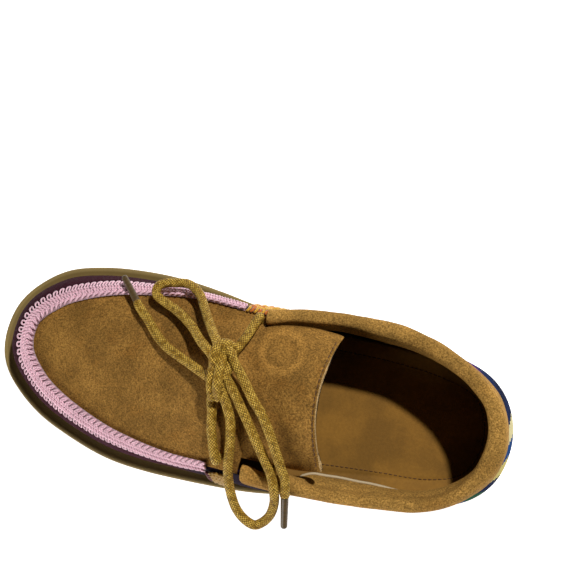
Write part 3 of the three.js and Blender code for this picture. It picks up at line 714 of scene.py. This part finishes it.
@lru_cache(maxsize=None)
def material(kind):
    """One of the shoe's materials, made when it is first asked for."""
    colour = tuple(getattr(colours(), {"cloth": "cloth_toe", "pink_shade": "pink"}.get(kind, kind)))
    if kind == "suede":
        return suede_look("golden_suede", colour, brushed=True)
    if kind == "suede_edge":
        return suede_look("suede_cut_edge", colour, 0.4)
    if kind == "collar":
        return suede_look("collar_suede", colour, 0.7)
    if kind == "cloth":
        blocks = [linear(*rgb) for rgb in HEEL_BLOCKS]
        return cloth_look("woven_wall", [colour, tuple(colours().cloth_instep), *blocks])
    # the braid's ground is the pink yarn at half brightness: painted shade under and between the loops
    if kind == "pink_shade":
        return yarn_look("pink_ground_painted_shade", toned(colour, 0.5), 0.6)
    if kind == "lace":
        return lace_look("waxed_braid", colour, tuple(colours().lace_fleck), tuple(colours().lace_shadow))
    if kind == "rubber":
        return rubber_look("olive_rubber", colour, tuple(colours().rubber_strip))
    make, name = {
        "lining": (lining_look, "dark_lining"),
        "pink": (yarn_look, "pink_yarn"),
        "yellow": (yarn_look, "yellow_yarn"),
        "orange": (yarn_look, "orange_yarn"),
        "olive": (yarn_look, "olive_yarn"),
        "red": (yarn_look, "dark_red_yarn"),
        "tip": (tip_look, "lace_film"),
        "insole": (leather_look, "insole_leather"),
        "thread": (thread_look, "brown_thread"),
        "pale_edge": (thread_look, "pale_binding"),
    }[kind]
    return make(name, colour)


# Properties


def tint(name, description, *rgb):
    return FloatVectorProperty(
        name=name, description=description, default=linear(*rgb), subtype="COLOR", size=3, min=0, max=1
    )


def length(name, description, default):
    return FloatProperty(
        name=name, description=description, default=default * MM, min=0, precision=4,
        unit="LENGTH", subtype="DISTANCE",
    )  # fmt: skip


class MoccasinColours(bpy.types.PropertyGroup):
    """Colours of the shoe's materials"""

    suede: tint("Suede", "Apron and tongue", 139, 101, 46)
    suede_edge: tint("Cut edge", "Cut edge of the suede", 178, 146, 98)
    collar: tint("Collar", "Padded collar suede", 158, 119, 58)
    lining: tint("Lining", "Inside of the wall", 16, 11, 8)
    cloth_toe: tint("Toe cloth", "Wall cloth round the toe", 54, 12, 27)
    cloth_instep: tint("Instep cloth", "Wall cloth at the instep", 26, 9, 28)
    pink: tint("Braid", "Crochet yarn of the toe braid", 252, 203, 216)
    yellow: tint("Yellow yarn", "Crochet yarn of the medial patch", 226, 170, 40)
    orange: tint("Orange yarn", "Second yarn of the medial patch", 206, 110, 24)
    olive: tint("Olive yarn", "Crochet yarn of the lateral patch", 180, 138, 54)
    red: tint("Dark red yarn", "Second yarn of the lateral patch", 92, 22, 20)
    lace: tint("Lace", "Braided lace", 152, 113, 26)
    # bright yarn on the braid's ridge tops, partly a painted highlight
    lace_fleck: tint("Lace fleck", "Bright fleck of the lace", 242, 202, 90)
    # painted shade in the grooves between the yarns, also the colour of the darker yarn's patches
    lace_shadow: tint("Lace shade", "Dark yarn between the flecks", 62, 41, 8)
    tip: tint("Lace tip", "Film on the lace's ends", 84, 66, 38)
    rubber: tint("Sole", "Sole and the edge of its ledge", 140, 118, 68)
    rubber_strip: tint("Sole strip", "Darker strip of the ledge beside the wall", 122, 100, 52)
    insole: tint("Insole", "Insole leather", 141, 100, 38)
    thread: tint("Thread", "Sewing thread", 92, 58, 22)
    pale_edge: tint("Binding", "Pale edge below the collar", 196, 176, 140)


class MoccasinSizes(bpy.types.PropertyGroup):
    """Sizes of the details"""

    loop_pitch: length("Loop pitch", "From one open loop of the braid to the next", 3.3)
    loop_yarn: length("Loop yarn", "Thickness of the braid's yarn", 0.95)
    stitch_pitch: length("Stitch pitch", "Length of a seam's stitches and gaps", 2.9)
    stitch_margin: length("Stitch margin", "From the tongue's and insole's edge to their seam", 2.2)
    nap_depth: length("Suede unevenness", "How far the suede's surface wanders", 0.5)
    collar_groove: length("Collar groove", "Depth of the crease inside the collar's roll", 0.9)
    corner_curl: length("Corner curl", "How far the tongue's rear corners lift", 1.6)


def setting(name):
    """One of the sizes in the panel, in millimetres."""
    return getattr(bpy.context.scene.moccasin_sizes, name) / MM


def colours():
    return bpy.context.scene.moccasin_colours


# The camera and the lace


PICTURE_PIXELS, FOCAL_PIXELS = 580, 977.807
CAMERA_PLACE = (0.019202, 0.009893, 0.52269)
CAMERA_TURNS = (8.6816, 5.9739, -169.8284)  # in degrees


class MOCCASIN_OT_camera(bpy.types.Operator):
    """Place the camera above the shoe, as the photograph has it"""

    bl_idname = "moccasin.camera"
    bl_label = "Camera"

    def execute(self, context):
        data = bpy.data.cameras.new("Camera")
        data.sensor_width = 36
        data.lens = FOCAL_PIXELS * data.sensor_width / PICTURE_PIXELS
        data.clip_start, data.clip_end = 0.01, 20
        camera = bpy.data.objects.new("Camera", data)
        context.scene.collection.objects.link(camera)
        camera.location = CAMERA_PLACE
        camera.rotation_euler = [math.radians(turn) for turn in CAMERA_TURNS]
        context.scene.camera = camera
        return {"FINISHED"}


def strand_piece(name, slot, kind, nodes, strands, radius, **how):
    """A piece of strands along lines of points in millimetres, all of one material and thickness."""
    bm = bmesh.new()
    for strand in strands:
        add_strand(bm, strand, radius, **how)
    return closed_piece(bm, name, slot, [material(kind)], *nodes)


def lace_piece(name, node, *routes):
    return strand_piece(name, "waxed_lace", "lace", [node], routes, LACE / 2, sides=16, spacing=1.1)


def tip_piece(name, node, route):
    before, end = Vector(route[-2]), Vector(route[-1])
    along = (end - before).normalized()
    points = [end + along * (CLEARANCE + AGLET_LENGTH * k / 8) for k in range(9)]

    def radius(share):
        return AGLET / 2 * (1.12 - 0.16 * share) * (0.8 if share > 0.985 else 1)

    shape = {"sides": 14, "spacing": 0.6, "flatten": 0.92}
    return strand_piece(name, "lace_tip", "tip", [node], [points], radius, **shape)


def route_length(route):
    line = smooth_line(route, 1)
    return sum((b - a).length for a, b in zip(line, line[1:])) * MM


class MOCCASIN_OT_lace(bpy.types.Operator):
    """Add the lace: two bars through the eyelets, a knot, two loops and two ends"""

    bl_idname = "moccasin.lace"
    bl_label = "Lace"

    def execute(self, context):
        medial, lateral = (
            [apron(along * SOLE_LENGTH, across * BALL_WIDTH, height) for height in EYELET_HEIGHTS]
            for along, across in EYELETS
        )
        lace_piece("eyelet_bars", "lace_bars", [*medial, *map(Vector, BARS), *reversed(lateral)])
        knot = lace_piece("bow_knot", "lace_knot", *KNOT_STRANDS)
        for kind, name, route in (
            ("end", "toe", TOE_END),
            ("end", "heel", HEEL_END),
            ("loop", "toe", TOE_LOOP),
            ("loop", "lateral", LATERAL_LOOP),
        ):
            cord = lace_piece(f"bow_{kind}_{name}", f"lace_{kind}_{name}", route)
            tied = [tip_piece(f"film_tip_{name}", f"aglet_{name}", route), knot] if kind == "end" else []
            row(route[0])
            route_length(route)
            [row(p) for p in smooth_line(route, 2)]  # fmt: skip
        return {"FINISHED"}


# Upper


def arc_table(samples=384):
    """Length round the wall from the back of the heel, out along the lateral side, for station 0 to 32."""
    us = np.linspace(0, ROWS, samples + 1)
    line = np.array([wall(float(u), 0.5) for u in us])
    return us, reach_along(line)


class MOCCASIN_OT_wall(bpy.types.Operator):
    """Add the cloth wall with its lining"""

    bl_idname = "moccasin.wall"
    bl_label = "Cloth wall"

    def execute(self, context):
        us, reach = arc_table()
        whole = reach[-1]

        def place(s, t):
            u = s * ROWS % ROWS
            point = wall(u, t)
            swell = 0.5 * wave(point, 22, 1) * math.sin(math.pi * t)
            return row(point + wall_out(u, t) * swell)

        def uv(s, t):
            return (float(np.interp(s * ROWS, us, reach)) / whole * WALL_ROUND, t * 40)

        bm = bmesh.new()
        add_grid(bm, 320, 22, place, uv)
        bmesh.ops.remove_doubles(bm, verts=bm.verts, dist=MERGE)
        face_outwards(bm)
        piece = make_piece(bm, "wall_cloth", "woven_cloth", [material("cloth"), material("lining")], "upper")
        thicken(piece, WALL, inner=1)
        return {"FINISHED"}


def tongue_row(back):
    """Section of the tongue at a share from the throat, 0, to its free edge, 1."""
    at = back * (len(TONGUE) - 1)
    k = min(int(at), len(TONGUE) - 2)
    rows = [TONGUE[max(k - 1, 0)], TONGUE[k], TONGUE[k + 1], TONGUE[min(k + 2, len(TONGUE) - 1)]]
    return [spline(*values, at - k) for values in zip(*rows)]


def tongue_point(back, across):
    """across runs from -1 at the lateral edge to 1 at the medial one."""
    along, lateral, medial, centre, edge = tongue_row(back)
    hollow = TONGUE_HOLLOW * back * back * (1 - across * across)
    y = mix(lateral, -medial, (across + 1) / 2) * BALL_WIDTH
    z = mix(edge, centre, 1 - across * across) * INSTEP_HEIGHT
    return Vector((along * SOLE_LENGTH + hollow, y, z))


TONGUE_LENGTH = (TONGUE[0][0] - TONGUE[-1][0]) * SOLE_LENGTH
FOREFOOT_SHARE = 0.62  # the suede's rows that lie over the forefoot, the rest being the tongue's


class MOCCASIN_OT_suede(bpy.types.Operator):
    """Add the apron and tongue, one piece of suede, with the seam along its free edge"""

    bl_idname = "moccasin.suede"
    bl_label = "Apron and tongue"

    @staticmethod
    def surface(s, t):
        """s from the toe, 0, to the free edge, 1. t from the lateral edge to the medial one."""
        across = 2 * t - 1
        if s <= FOREFOOT_SHARE:
            u = mix(TOE_ROW, THROAT_ROW, s / FOREFOOT_SHARE)
            point = wall(u, 1).lerp(wall(ROWS - u, 1), t)
            point.z = apron_height(point.x, point.y)
        else:
            back = (s - FOREFOOT_SHARE) / (1 - FOREFOOT_SHARE)
            point = tongue_point(back, across)
            corner = smooth(back, 0.86, 1) * smooth(abs(across), 0.74, 0.95)
            curl = setting("corner_curl") * corner * (4.2 if across < 0 else 0.4)
            # the medial edge leans up against the collar
            lean = smooth(across, 0.4, 1) * math.sin(math.pi * back) ** 0.8
            point += Vector((0, -3.2 * lean, 3.4 * smooth(across, 0.5, 1) * smooth(back, 0, 0.3)))
            margin = (1 - back) * TONGUE_LENGTH - setting("stitch_margin")
            seam = 0.45 * math.exp(-((margin / 0.7) ** 2))
            point.z += curl - seam
        fade = math.sin(math.pi * clamp(t, 0, 1)) if s < FOREFOOT_SHARE else 1
        fade *= smooth(s, 0, 0.1)
        point.z += setting("nap_depth") * fade * (wave(point, 19, 2) + 0.5 * wave(point, 8, 3))
        return point

    def execute(self, context):
        bm = bmesh.new()
        add_grid(bm, 170, 72, lambda s, t: row(self.surface(s, t)))
        bmesh.ops.remove_doubles(bm, verts=bm.verts, dist=MERGE)
        face_outwards(bm)
        looks = [material(kind) for kind in ("suede", "lining", "suede_edge")]
        piece = make_piece(bm, "suede_top", "brown_suede", looks, "tongue", "upper")
        thicken(piece, WALL, inner=1, rim=2)
        self.seam()
        return {"FINISHED"}

    def seam(self):
        pitch, margin = setting("stitch_pitch"), setting("stitch_margin")
        back = 1 - margin / TONGUE_LENGTH
        s = FOREFOOT_SHARE + back * (1 - FOREFOOT_SHARE)
        line = [self.surface(s, t) + Vector((0, 0, 0.15)) for t in np.linspace(0.035, 0.965, 120)]
        stitch_row("tongue_seam", "brown_suede", line, pitch, 0.28)


STITCH_SHARE = 0.68  # of a seam's pitch, the rest being the gap


def stitch_row(name, slot, line, pitch, radius):
    """Adds a row of stitches along a line of points in millimetres."""
    points = np.array(line)
    reach = reach_along(points)
    count = int(reach[-1] // pitch)

    def at(distance):
        return Vector([float(np.interp(distance, reach, points[:, i])) for i in range(3)])

    strands = []
    for k in range(count):
        a, b = ((k + 0.5 + side * STITCH_SHARE / 2) * pitch for side in (-1, 1))
        strands.append([
            at(place) + Vector((0, 0, lift * radius))
            for place, lift in ((a, -1.5), (a + 0.2, 0.3), ((a + b) / 2, 0.6), (b - 0.2, 0.3), (b, -1.5))
        ])  # fmt: skip
    strand_piece(name, slot, "thread", [], strands, radius, sides=5, spacing=0.5)


# Collar


def collar_pinch(u):
    """How much of the roll's inner side is left at its front ends, where the tongue and lace press it in."""
    if u < 0:
        return mix(1, 0.45, smooth(u, -4.2, -5.2) * smooth(u, -7, -6.1)) if u < -4.2 else 1.0
    if u < 5.5:
        return 1.0
    return mix(0.3, 1, smooth(u, 6.2, 6.75)) if u > 6.2 else mix(1, 0.3, smooth(u, 5.6, 6.2))


# The collar's inner side on the lateral flank: past the roll's crease a band slopes in to the lower lip.
# Each point is out from the wall's face and up from its top edge.
INNER_BAND = [
    (-2.6, 2.9), (-3.3, 2.2), (-4.0, 0.9), (-4.6, -1.0), (-5.0, -3.2), (-5.4, -5.4), (-5.7, -7.4),
    (-5.2, -8.2),
]  # fmt: skip
# The skirt's points on the wall's two faces: level up the wall, share of the padding
OUTER_SKIRT = [
    (0.75, 0.2), (0.77, 0.42), (0.81, 0.6), (0.875, 0.8), (0.94, 0.95),
]  # fmt: skip
INNER_SKIRT = [
    (1, 1.0), (0.97, 1.0), (0.94, 1.0), (0.9, 0.9), (0.86, 0.8), (0.82, 0.62), (0.78, 0.4), (0.75, 0.2),
]  # fmt: skip
ROLL_POINTS = 13
PADDED_POINTS = len(OUTER_SKIRT) + ROLL_POINTS + len(INNER_BAND)
LIP = PADDED_POINTS - 2


def collar_profile(u):
    """The collar's closed section at station u, with the slot that the wall's top edge stands in."""
    end = max(0, abs(u) - COLLAR_TAPER_ROW) / (COLLAR_END_ROW - COLLAR_TAPER_ROW)
    pinch = collar_pinch(u)
    flank = smooth(u, 0.6, 2.4) * (1 - smooth(u, 5.2, 5.8))
    # the medial side of the heel is packed less full, so the wall shows beyond it
    slim = 1.7 * smooth(u, -4.6, -2.6) * (1 - smooth(u, -1.2, 0.4))
    outer, inner = COLLAR_OUTER * mix(1, 0.7, end) - slim, COLLAR_INNER * mix(1, 0.7, end)
    rim, upward, out = wall(u, 1), wall_up(u, 1), wall_out(u, 1)
    half = WALL / 2 + COLLAR_SLOT + (outer + inner) / 2
    middle = rim + upward * COLLAR_RISE + out * ((outer - inner - WALL) / 2)
    groove = setting("collar_groove")

    def skin(level, depth):
        return wall(u, level) + wall_out(u, level) * depth

    points = [skin(level, COLLAR_SLOT + outer * share) for level, share in OUTER_SKIRT]
    for k in range(ROLL_POINTS):
        # the roll turns 12 degrees from point to point
        angle = math.pi * k / 15
        width = half * (pinch if angle > math.pi / 2 else 1)
        crown = COLLAR_CROWN * mix(0.72, 1, pinch)
        point = middle + out * width * math.cos(angle) + upward * crown * math.sin(angle) ** 0.9
        # on the flank the roll is narrower and ends in a crease
        turned = math.pi * k / 13.5
        roll = rim + out * (1.15 + 3.45 * math.cos(turned))
        roll += upward * (COLLAR_RISE + COLLAR_CROWN * math.sin(turned) ** 0.9)
        dent = groove * math.exp(-(((k - 11.6) / 1.1) ** 2))
        points.append(point.lerp(roll, flank) - upward * dent * flank)
    inside = [skin(level, -WALL - COLLAR_SLOT - inner * share * pinch) for level, share in INNER_SKIRT]
    further = 2.3 * smooth(u, 3.6, 5)
    for i, (point, (a, b)) in enumerate(zip(inside, INNER_BAND)):
        points.append(point.lerp(rim + out * (a - further * i / 7) + upward * b, flank))
    points += [skin(level, -WALL - COLLAR_SLOT) for level in (0.75, 0.875)]
    points += [skin(1, depth) + upward * COLLAR_SLOT for depth in (-WALL - COLLAR_SLOT, COLLAR_SLOT)]
    points += [skin(level, COLLAR_SLOT) for level in (0.875, 0.75)]
    for point in points[:PADDED_POINTS]:
        point += (point - middle).normalized() * (0.35 * wave(point, 16, 4) + 0.2 * wave(point, 6, 5))
    return points


class MOCCASIN_OT_collar(bpy.types.Operator):
    """Add the padded suede collar and the pale edge below it"""

    bl_idname = "moccasin.collar"
    bl_label = "Collar"

    def execute(self, context):
        columns = 200
        first = -COLLAR_END_ROW - 0.06
        profiles = [collar_profile(mix(first, COLLAR_END_ROW, i / columns)) for i in range(columns + 1)]
        count = len(profiles[0])
        bm = bmesh.new()
        add_grid(bm, columns, count, lambda s, t: row(profiles[round(s * columns)][round(t * count) % count]))
        bmesh.ops.remove_doubles(bm, verts=bm.verts, dist=MERGE)
        bmesh.ops.holes_fill(bm, edges=[e for e in bm.edges if e.is_boundary], sides=0)
        piece = closed_piece(bm, "padded_collar", "collar_suede", [material("collar")], "collar")
        smoothing = piece.modifiers.new("Smooth", "SUBSURF")
        smoothing.levels = smoothing.render_levels = 1

        line = []
        for i in range(121):
            u = mix(3.4, 5.6, i / 120)
            tucked = 1.5 * (1 - smooth(i, 0, 40) * (1 - smooth(i, 112, 120)))
            inwards = 0.4 + 0.25 * wave((i, 0, 0), 22, 6) - tucked
            line.append(collar_profile(u)[LIP] - wall_out(u, 1) * inwards)
        slot, look = "collar_suede", "pale_edge"
        strand_piece("collar_binding", slot, look, ["collar"], [line], 0.7, sides=6, spacing=1.6)
        return {"FINISHED"}


# Crochet


class SeamField:
    """Points on the seam of wall and apron by distance along it and by share across the braid."""

    def __init__(self, samples=150, shares=13):
        first, last = BRAID_LATERAL_ROW, ROWS - BRAID_MEDIAL_ROW
        us = np.linspace(first, last, samples + 1)
        rim = np.array([wall(float(u), 1) for u in us])
        reach = reach_along(rim)
        self.length = float(reach[-1])
        at = np.interp(np.linspace(0, self.length, samples + 1), reach, us)
        self.shares = np.linspace(-1.15, 1.1, shares)
        self.points, self.normals = (
            np.array([[side(float(u), braid_reach(float(u), share)) for share in self.shares] for u in at])
            for side in (over_seam, seam_normal)
        )
        self.samples = samples

    def __call__(self, along, share, height):
        x = clamp(along / self.length, 0, 1) * self.samples
        y = clamp((share - self.shares[0]) / (self.shares[-1] - self.shares[0])) * (len(self.shares) - 1)
        i, j = min(int(x), self.samples - 1), min(int(y), len(self.shares) - 2)
        fx, fy = x - i, y - j
        point, normal = (
            (grid[i, j] * (1 - fx) + grid[i + 1, j] * fx) * (1 - fy)
            + (grid[i, j + 1] * (1 - fx) + grid[i + 1, j + 1] * fx) * fy
            for grid in (self.points, self.normals)
        )
        return Vector(point) + Vector(normal).normalized() * height


class MOCCASIN_OT_braid(bpy.types.Operator):
    """Add the crochet braid over the toe seam: its ground, chain rows and open loops"""

    bl_idname = "moccasin.braid"
    bl_label = "Toe braid"

    def execute(self, context):
        field = SeamField()
        pitch, yarn = setting("loop_pitch"), setting("loop_yarn") / 2
        bm = bmesh.new()

        def ground(s, t):
            share = mix(-0.42, 0.98, t)
            return row(field(s * field.length, share, CLEARANCE + 1.35 * (1 - 0.5 * share * share)))

        # the ground sheet takes material 1, the half-bright pink, as painted shade under the loops
        add_grid(bm, 240, 8, ground, lambda s, t: (s * field.length, t * 2), material=1)
        bmesh.ops.solidify(bm, geom=bm.faces, thickness=0.9 * MM)
        count = round(field.length / pitch)
        for k in range(count):
            self.link(bm, field, (k + 0.5) * field.length / count, k, yarn)
        yarns = [material("pink"), material("pink_shade")]
        closed_piece(bm, "crochet_braid", "pink_crochet", yarns, "toe_braid")
        return {"FINISHED"}

    @staticmethod
    def link(bm, field, along, k, yarn):
        """One repeat: a tall open loop, two dense slanted stitches and a slanted drop of the edge chain."""
        ways = [0.16 * wave((k, j, 0), 1.7, 7) for j in range(3)]
        half = 0.8
        loop = [
            (-0.5, -0.12, 1.5), (-half, -0.42, 1.9), (-half * 1.1, -0.8, 1.6), (-0.45, -1.1, 1.2),
            (0.35, -1.12, 1.2), (half * 1.1, -0.84, 1.6), (half, -0.46, 1.9), (0.5, -0.14, 1.5),
        ]  # fmt: skip
        # each strand's points as step along, share across and height, then its shift and its thickness
        strands = [([(a + ways[0] * share, share, h) for a, share, h in loop], 0, 1)]
        slants = [(0, -0.3, 0.1), (1.65, -0.26, 0.12), (0.8, 0.08, 0.5), (-0.8, 0.06, 0.48)]
        for shift, low, high in slants:
            middle = [(-0.4, mix(low, high, 0.3), 2.5), (0.4, mix(low, high, 0.7), 2.5)]
            strands.append(([(-1.0, low, 1.7), *middle, (1.0, high, 1.9)], shift + ways[1], 1.2))
        for side in (-1, 1):
            middle = [(0.6, 0.6 + 0.12 * side, 2.5), (-0.5, 0.8 + 0.13 * side, 2.3)]
            strands.append(([(1.5, 0.52, 1.5), *middle, (-1.4, 0.96, 1.3)], ways[2], 1.05))
        for points, shift, thick in strands:
            line = [field(along + shift + a, share, h) for a, share, h in points]
            add_strand(bm, line, yarn * thick, sides=5, spacing=0.8)


def patch_place(table, medial):
    rows = np.array([r[0] for r in table])[::-1]
    lows, highs = (np.array([r[i] for r in table])[::-1] for i in (1, 2))

    def place(s, t, height):
        """s from the braid's end, 0, back to 1. t up the wall."""
        station = mix(rows[-1], rows[0], s)
        level = mix(float(np.interp(station, rows, lows)), float(np.interp(station, rows, highs)), t)
        u = ROWS - station if medial else station
        return wall(u, level) + wall_out(u, level) * height

    return place


class MOCCASIN_OT_patches(bpy.types.Operator):
    """Add the crochet patches at the braid's two ends"""

    bl_idname = "moccasin.patches"
    bl_label = "Crochet patches"

    def execute(self, context):
        for node, table, medial, slot, yarns in (
            ("patch_lateral", LATERAL_PATCH, False, "olive_crochet", ("olive", "red")),
            ("patch_medial", MEDIAL_PATCH, True, "yellow_crochet", ("yellow", "orange")),
        ):
            place = patch_place(table, medial)
            bm = bmesh.new()
            start, share = (0, 1) if medial else (-0.12, 0.72)
            add_grid(bm, 16, 8, lambda s, t: row(place(start + s * share, t, CLEARANCE + 1.1)))
            bmesh.ops.solidify(bm, geom=bm.faces, thickness=0.7 * MM)
            bands, links = 4, 6
            for band, k, side in product(range(bands), range(links), (-1, 1)):
                s0, t0 = start + (k + 0.5) / links * share, (band + 0.5) / bands
                s0 += 0.03 * wave((k, band, 1), 1.3, 8)
                second = (k + band) % 3 == 0 and k < 3 if medial else k == 0
                stitch = [(-0.1, 0.02, 1.2), (-0.05, 0.09, 1.9), (0.05, 0.11, 2.1), (0.12, 0.03, 1.5)]
                line = [place(s0 + a * share, t0 + side * b, h) for a, b, h in stitch]
                add_strand(bm, line, 0.7, sides=6, spacing=0.8, material=int(second))
            if medial:
                self.corner(bm)
            closed_piece(bm, f"crochet_{node}", slot, [material(y) for y in yarns], node)
        return {"FINISHED"}

    @staticmethod
    def corner(bm):
        """Yarn that closes the corner between the braid's medial end and the collar, over the seam."""
        first = ROWS - BRAID_MEDIAL_ROW
        for k in range(7):
            u = first + 0.08 + 0.11 * k
            reach = mix(1.6, 0.7, k / 6)
            shape = ((-0.03, -2.6, 1.2), (0.02, -1.2, 2.0), (0.04, 0.2, 2.1), (-0.02, 1.1, 1.3))
            strand = [over_seam(u + a, b * reach) + seam_normal(u, 0) * h for a, b, h in shape]
            add_strand(bm, strand, 0.72, sides=6, spacing=0.8, material=k % 2)


# Sole and insole


def add_slab(bm, rings, stations=256, columns=16, uv=None):
    """Adds a closed slab: rings(u, k) gives the point of ring k at station u. The first and last ring are
    filled by strips across the shoe."""
    count = rings.count
    add_grid(bm, stations, count - 1, lambda s, t: row(rings(s * ROWS % ROWS, round(t * (count - 1)))), uv)
    half = stations // 2
    for k in (0, count - 1):

        def strip(s, t, k=k):
            u = round(s * half) / half * TOE_ROW
            a, b = rings(u, k), rings((ROWS - u) % ROWS, k)
            point = a.lerp(b, t)
            if 0 < t < 1:
                point.z = rings.height(point.x, k)
            return row(point)

        map_height = 9 if k else -9  # well inside the ledge, or below the sole
        add_grid(bm, half, columns, strip, lambda s, t, far=map_height: (0, far))


class SoleRings:
    """The sole's side from below: rounded lower edge, side with a light swell, rounded top edge, ledge."""

    shape = [
        (5, 0), (3, 0), (1.6, 0.03), (0.7, 0.1), (0.2, 0.2), (0, 0.32), (-0.1, 0.5), (0, 0.75),
        (0.15, 0.88), (0.55, 0.97), (1.2, 1.0), (2.4, 1.0), (2.8, 0.985), (6.5, 0.985), (8, 0.985),
    ]  # fmt: skip
    side = 7  # the last ring below the rounded top edge
    count = len(shape)

    def __call__(self, u, k):
        inset, up = self.shape[k]
        point = outline(u, inset + 0.12 * wave((around("x", u), around("y", u), 0), 25, 9))
        point.z = mix(under(point.x), sole_top(point.x), up)
        return point

    def height(self, x, k):
        return mix(under(x), sole_top(x), self.shape[k][1])


class InsoleRings:
    """The insole, cupped a little at its edge, with a channel for its seam."""

    shape = [
        (0.5, 0), (0, 0.3), (0, 3.6), (0.4, 4.2), (1.0, 4.35), (2.5, 4.1),
        (5.0, 3.5), (7.3, 3.1), (8.0, 2.85), (8.7, 3.05), (10.5, 3.0), (13.0, 2.98),
    ]  # fmt: skip
    seam = 8
    count = len(shape)

    def __call__(self, u, k):
        inset, up = self.shape[k]
        lean = max(0, -around("belly", u)) / 2
        point = outline(u, ledge(u) + WALL + 2 * CLEARANCE + lean + inset)
        point.z = self.height(point.x, k)
        return point

    def height(self, x, k):
        return sole_top(x) + CLEARANCE + self.shape[k][1]


class MOCCASIN_OT_sole(bpy.types.Operator):
    """Add the outsole with its two-toned ledge, and the insole with its seam"""

    bl_idname = "moccasin.sole"
    bl_label = "Outsole and insole"

    def execute(self, context):
        us, reach = arc_table()
        insets = [s[0] for s in SoleRings.shape]
        bm = bmesh.new()
        last = SoleRings.count - 1

        def uv(s, t):
            k = round(t * last)
            return (float(np.interp(s * ROWS, us, reach)), insets[k] if k > SoleRings.side else -insets[k])

        add_slab(bm, SoleRings(), uv=uv)
        closed_piece(bm, "rubber_sole", "gum_rubber", [material("rubber")], "outsole")

        bm = bmesh.new()
        add_slab(bm, InsoleRings())
        closed_piece(bm, "leather_insole", "insole_leather", [material("insole")], "insole")

        rings, line = InsoleRings(), []
        for i in range(361):
            u = ROWS * i / 360 % ROWS
            further = smooth(u, 2.5, 5.5) * (1 - smooth(u, 8, 12))
            point = rings(u, rings.seam).lerp(rings(u, rings.seam + 3), 0.75 * further)
            line.append(point + Vector((0, 0, 0.1)))
        stitch_row("insole_seam", "insole_leather", line, setting("stitch_pitch") * 0.85, 0.25)
        return {"FINISHED"}


# Stage


class MOCCASIN_OT_stage(bpy.types.Operator):
    """Add the pale floor and soft studio light"""

    bl_idname = "moccasin.stage"
    bl_label = "Stage"

    def execute(self, context):
        bm = bmesh.new()
        bmesh.ops.create_grid(bm, x_segments=4, y_segments=4, size=3)
        mesh = bpy.data.meshes.new("floor")
        bm.to_mesh(mesh)
        bm.free()
        floor = bpy.data.objects.new("floor", mesh)
        context.scene.collection.objects.link(floor)
        look = Look("pale_floor")
        pale = look.shade((0.9, 0.9, 0.9), 0.98 + look.noise(300) * 0.04)
        mesh.materials.append(look.finish(pale, 0.8, Emission_Color=(1, 1, 1), Emission_Strength=0.95))

        world = context.scene.world or bpy.data.worlds.new("World")
        context.scene.world = world
        world.use_nodes = True
        background = world.node_tree.nodes["Background"]
        background.inputs[0].default_value = (1, 1, 1, 1)
        background.inputs[1].default_value = 0.02
        aim = Vector((0.08, 0, 0.03))
        for name, place, size, power in (
            ("key", (-0.36, -0.88, 1.4), 0.1, 25),
            ("side", (0.7, 1.0, 0.26), 0.5, 7),
            ("fill", (0.5, 1.1, 0.6), 0.4, 3),
            ("back", (-0.9, 0.1, 0.25), 0.7, 1.0),
        ):
            data = bpy.data.lights.new(name, "AREA")
            data.shape, data.size, data.energy = "DISK", size, power
            lamp = bpy.data.objects.new(name, data)
            context.scene.collection.objects.link(lamp)
            lamp.location = place
            lamp.rotation_euler = (aim - Vector(place)).to_track_quat("-Z", "Y").to_euler()
        context.scene.view_settings.view_transform = "Standard"
        return {"FINISHED"}


# Panel and registration

OPERATORS = (
    MOCCASIN_OT_camera,
    MOCCASIN_OT_lace,
    MOCCASIN_OT_wall,
    MOCCASIN_OT_suede,
    MOCCASIN_OT_collar,
    MOCCASIN_OT_braid,
    MOCCASIN_OT_patches,
    MOCCASIN_OT_sole,
    MOCCASIN_OT_stage,
)


class MOCCASIN_PT_panel(bpy.types.Panel):
    """Lists the shoe's pieces, sizes and colours"""

    bl_idname = "MOCCASIN_PT_panel"
    bl_label = "Moccasin Shoe"
    bl_space_type = "VIEW_3D"
    bl_region_type = "UI"
    bl_category = "Moccasin"

    def draw(self, context):
        for operator in OPERATORS:
            self.layout.operator(operator.bl_idname)
        for group in (context.scene.moccasin_sizes, context.scene.moccasin_colours):
            box = self.layout.box()
            for key in group.bl_rna.properties.keys():
                if key not in ("rna_type", "name"):
                    box.prop(group, key)


CLASSES = (MoccasinColours, MoccasinSizes, *OPERATORS, MOCCASIN_PT_panel)


def register():
    for cls in CLASSES:
        bpy.utils.register_class(cls)
    bpy.types.Scene.moccasin_sizes = PointerProperty(type=MoccasinSizes)
    bpy.types.Scene.moccasin_colours = PointerProperty(type=MoccasinColours)


def unregister():
    del bpy.types.Scene.moccasin_colours
    del bpy.types.Scene.moccasin_sizes
    for cls in reversed(CLASSES):
        bpy.utils.unregister_class(cls)


def main():
    register()
    for operator in OPERATORS:
        group, name = operator.bl_idname.split(".")
        getattr(getattr(bpy.ops, group), name)()
    bpy.context.view_layer.update()


if __name__ == "__main__":
    main()
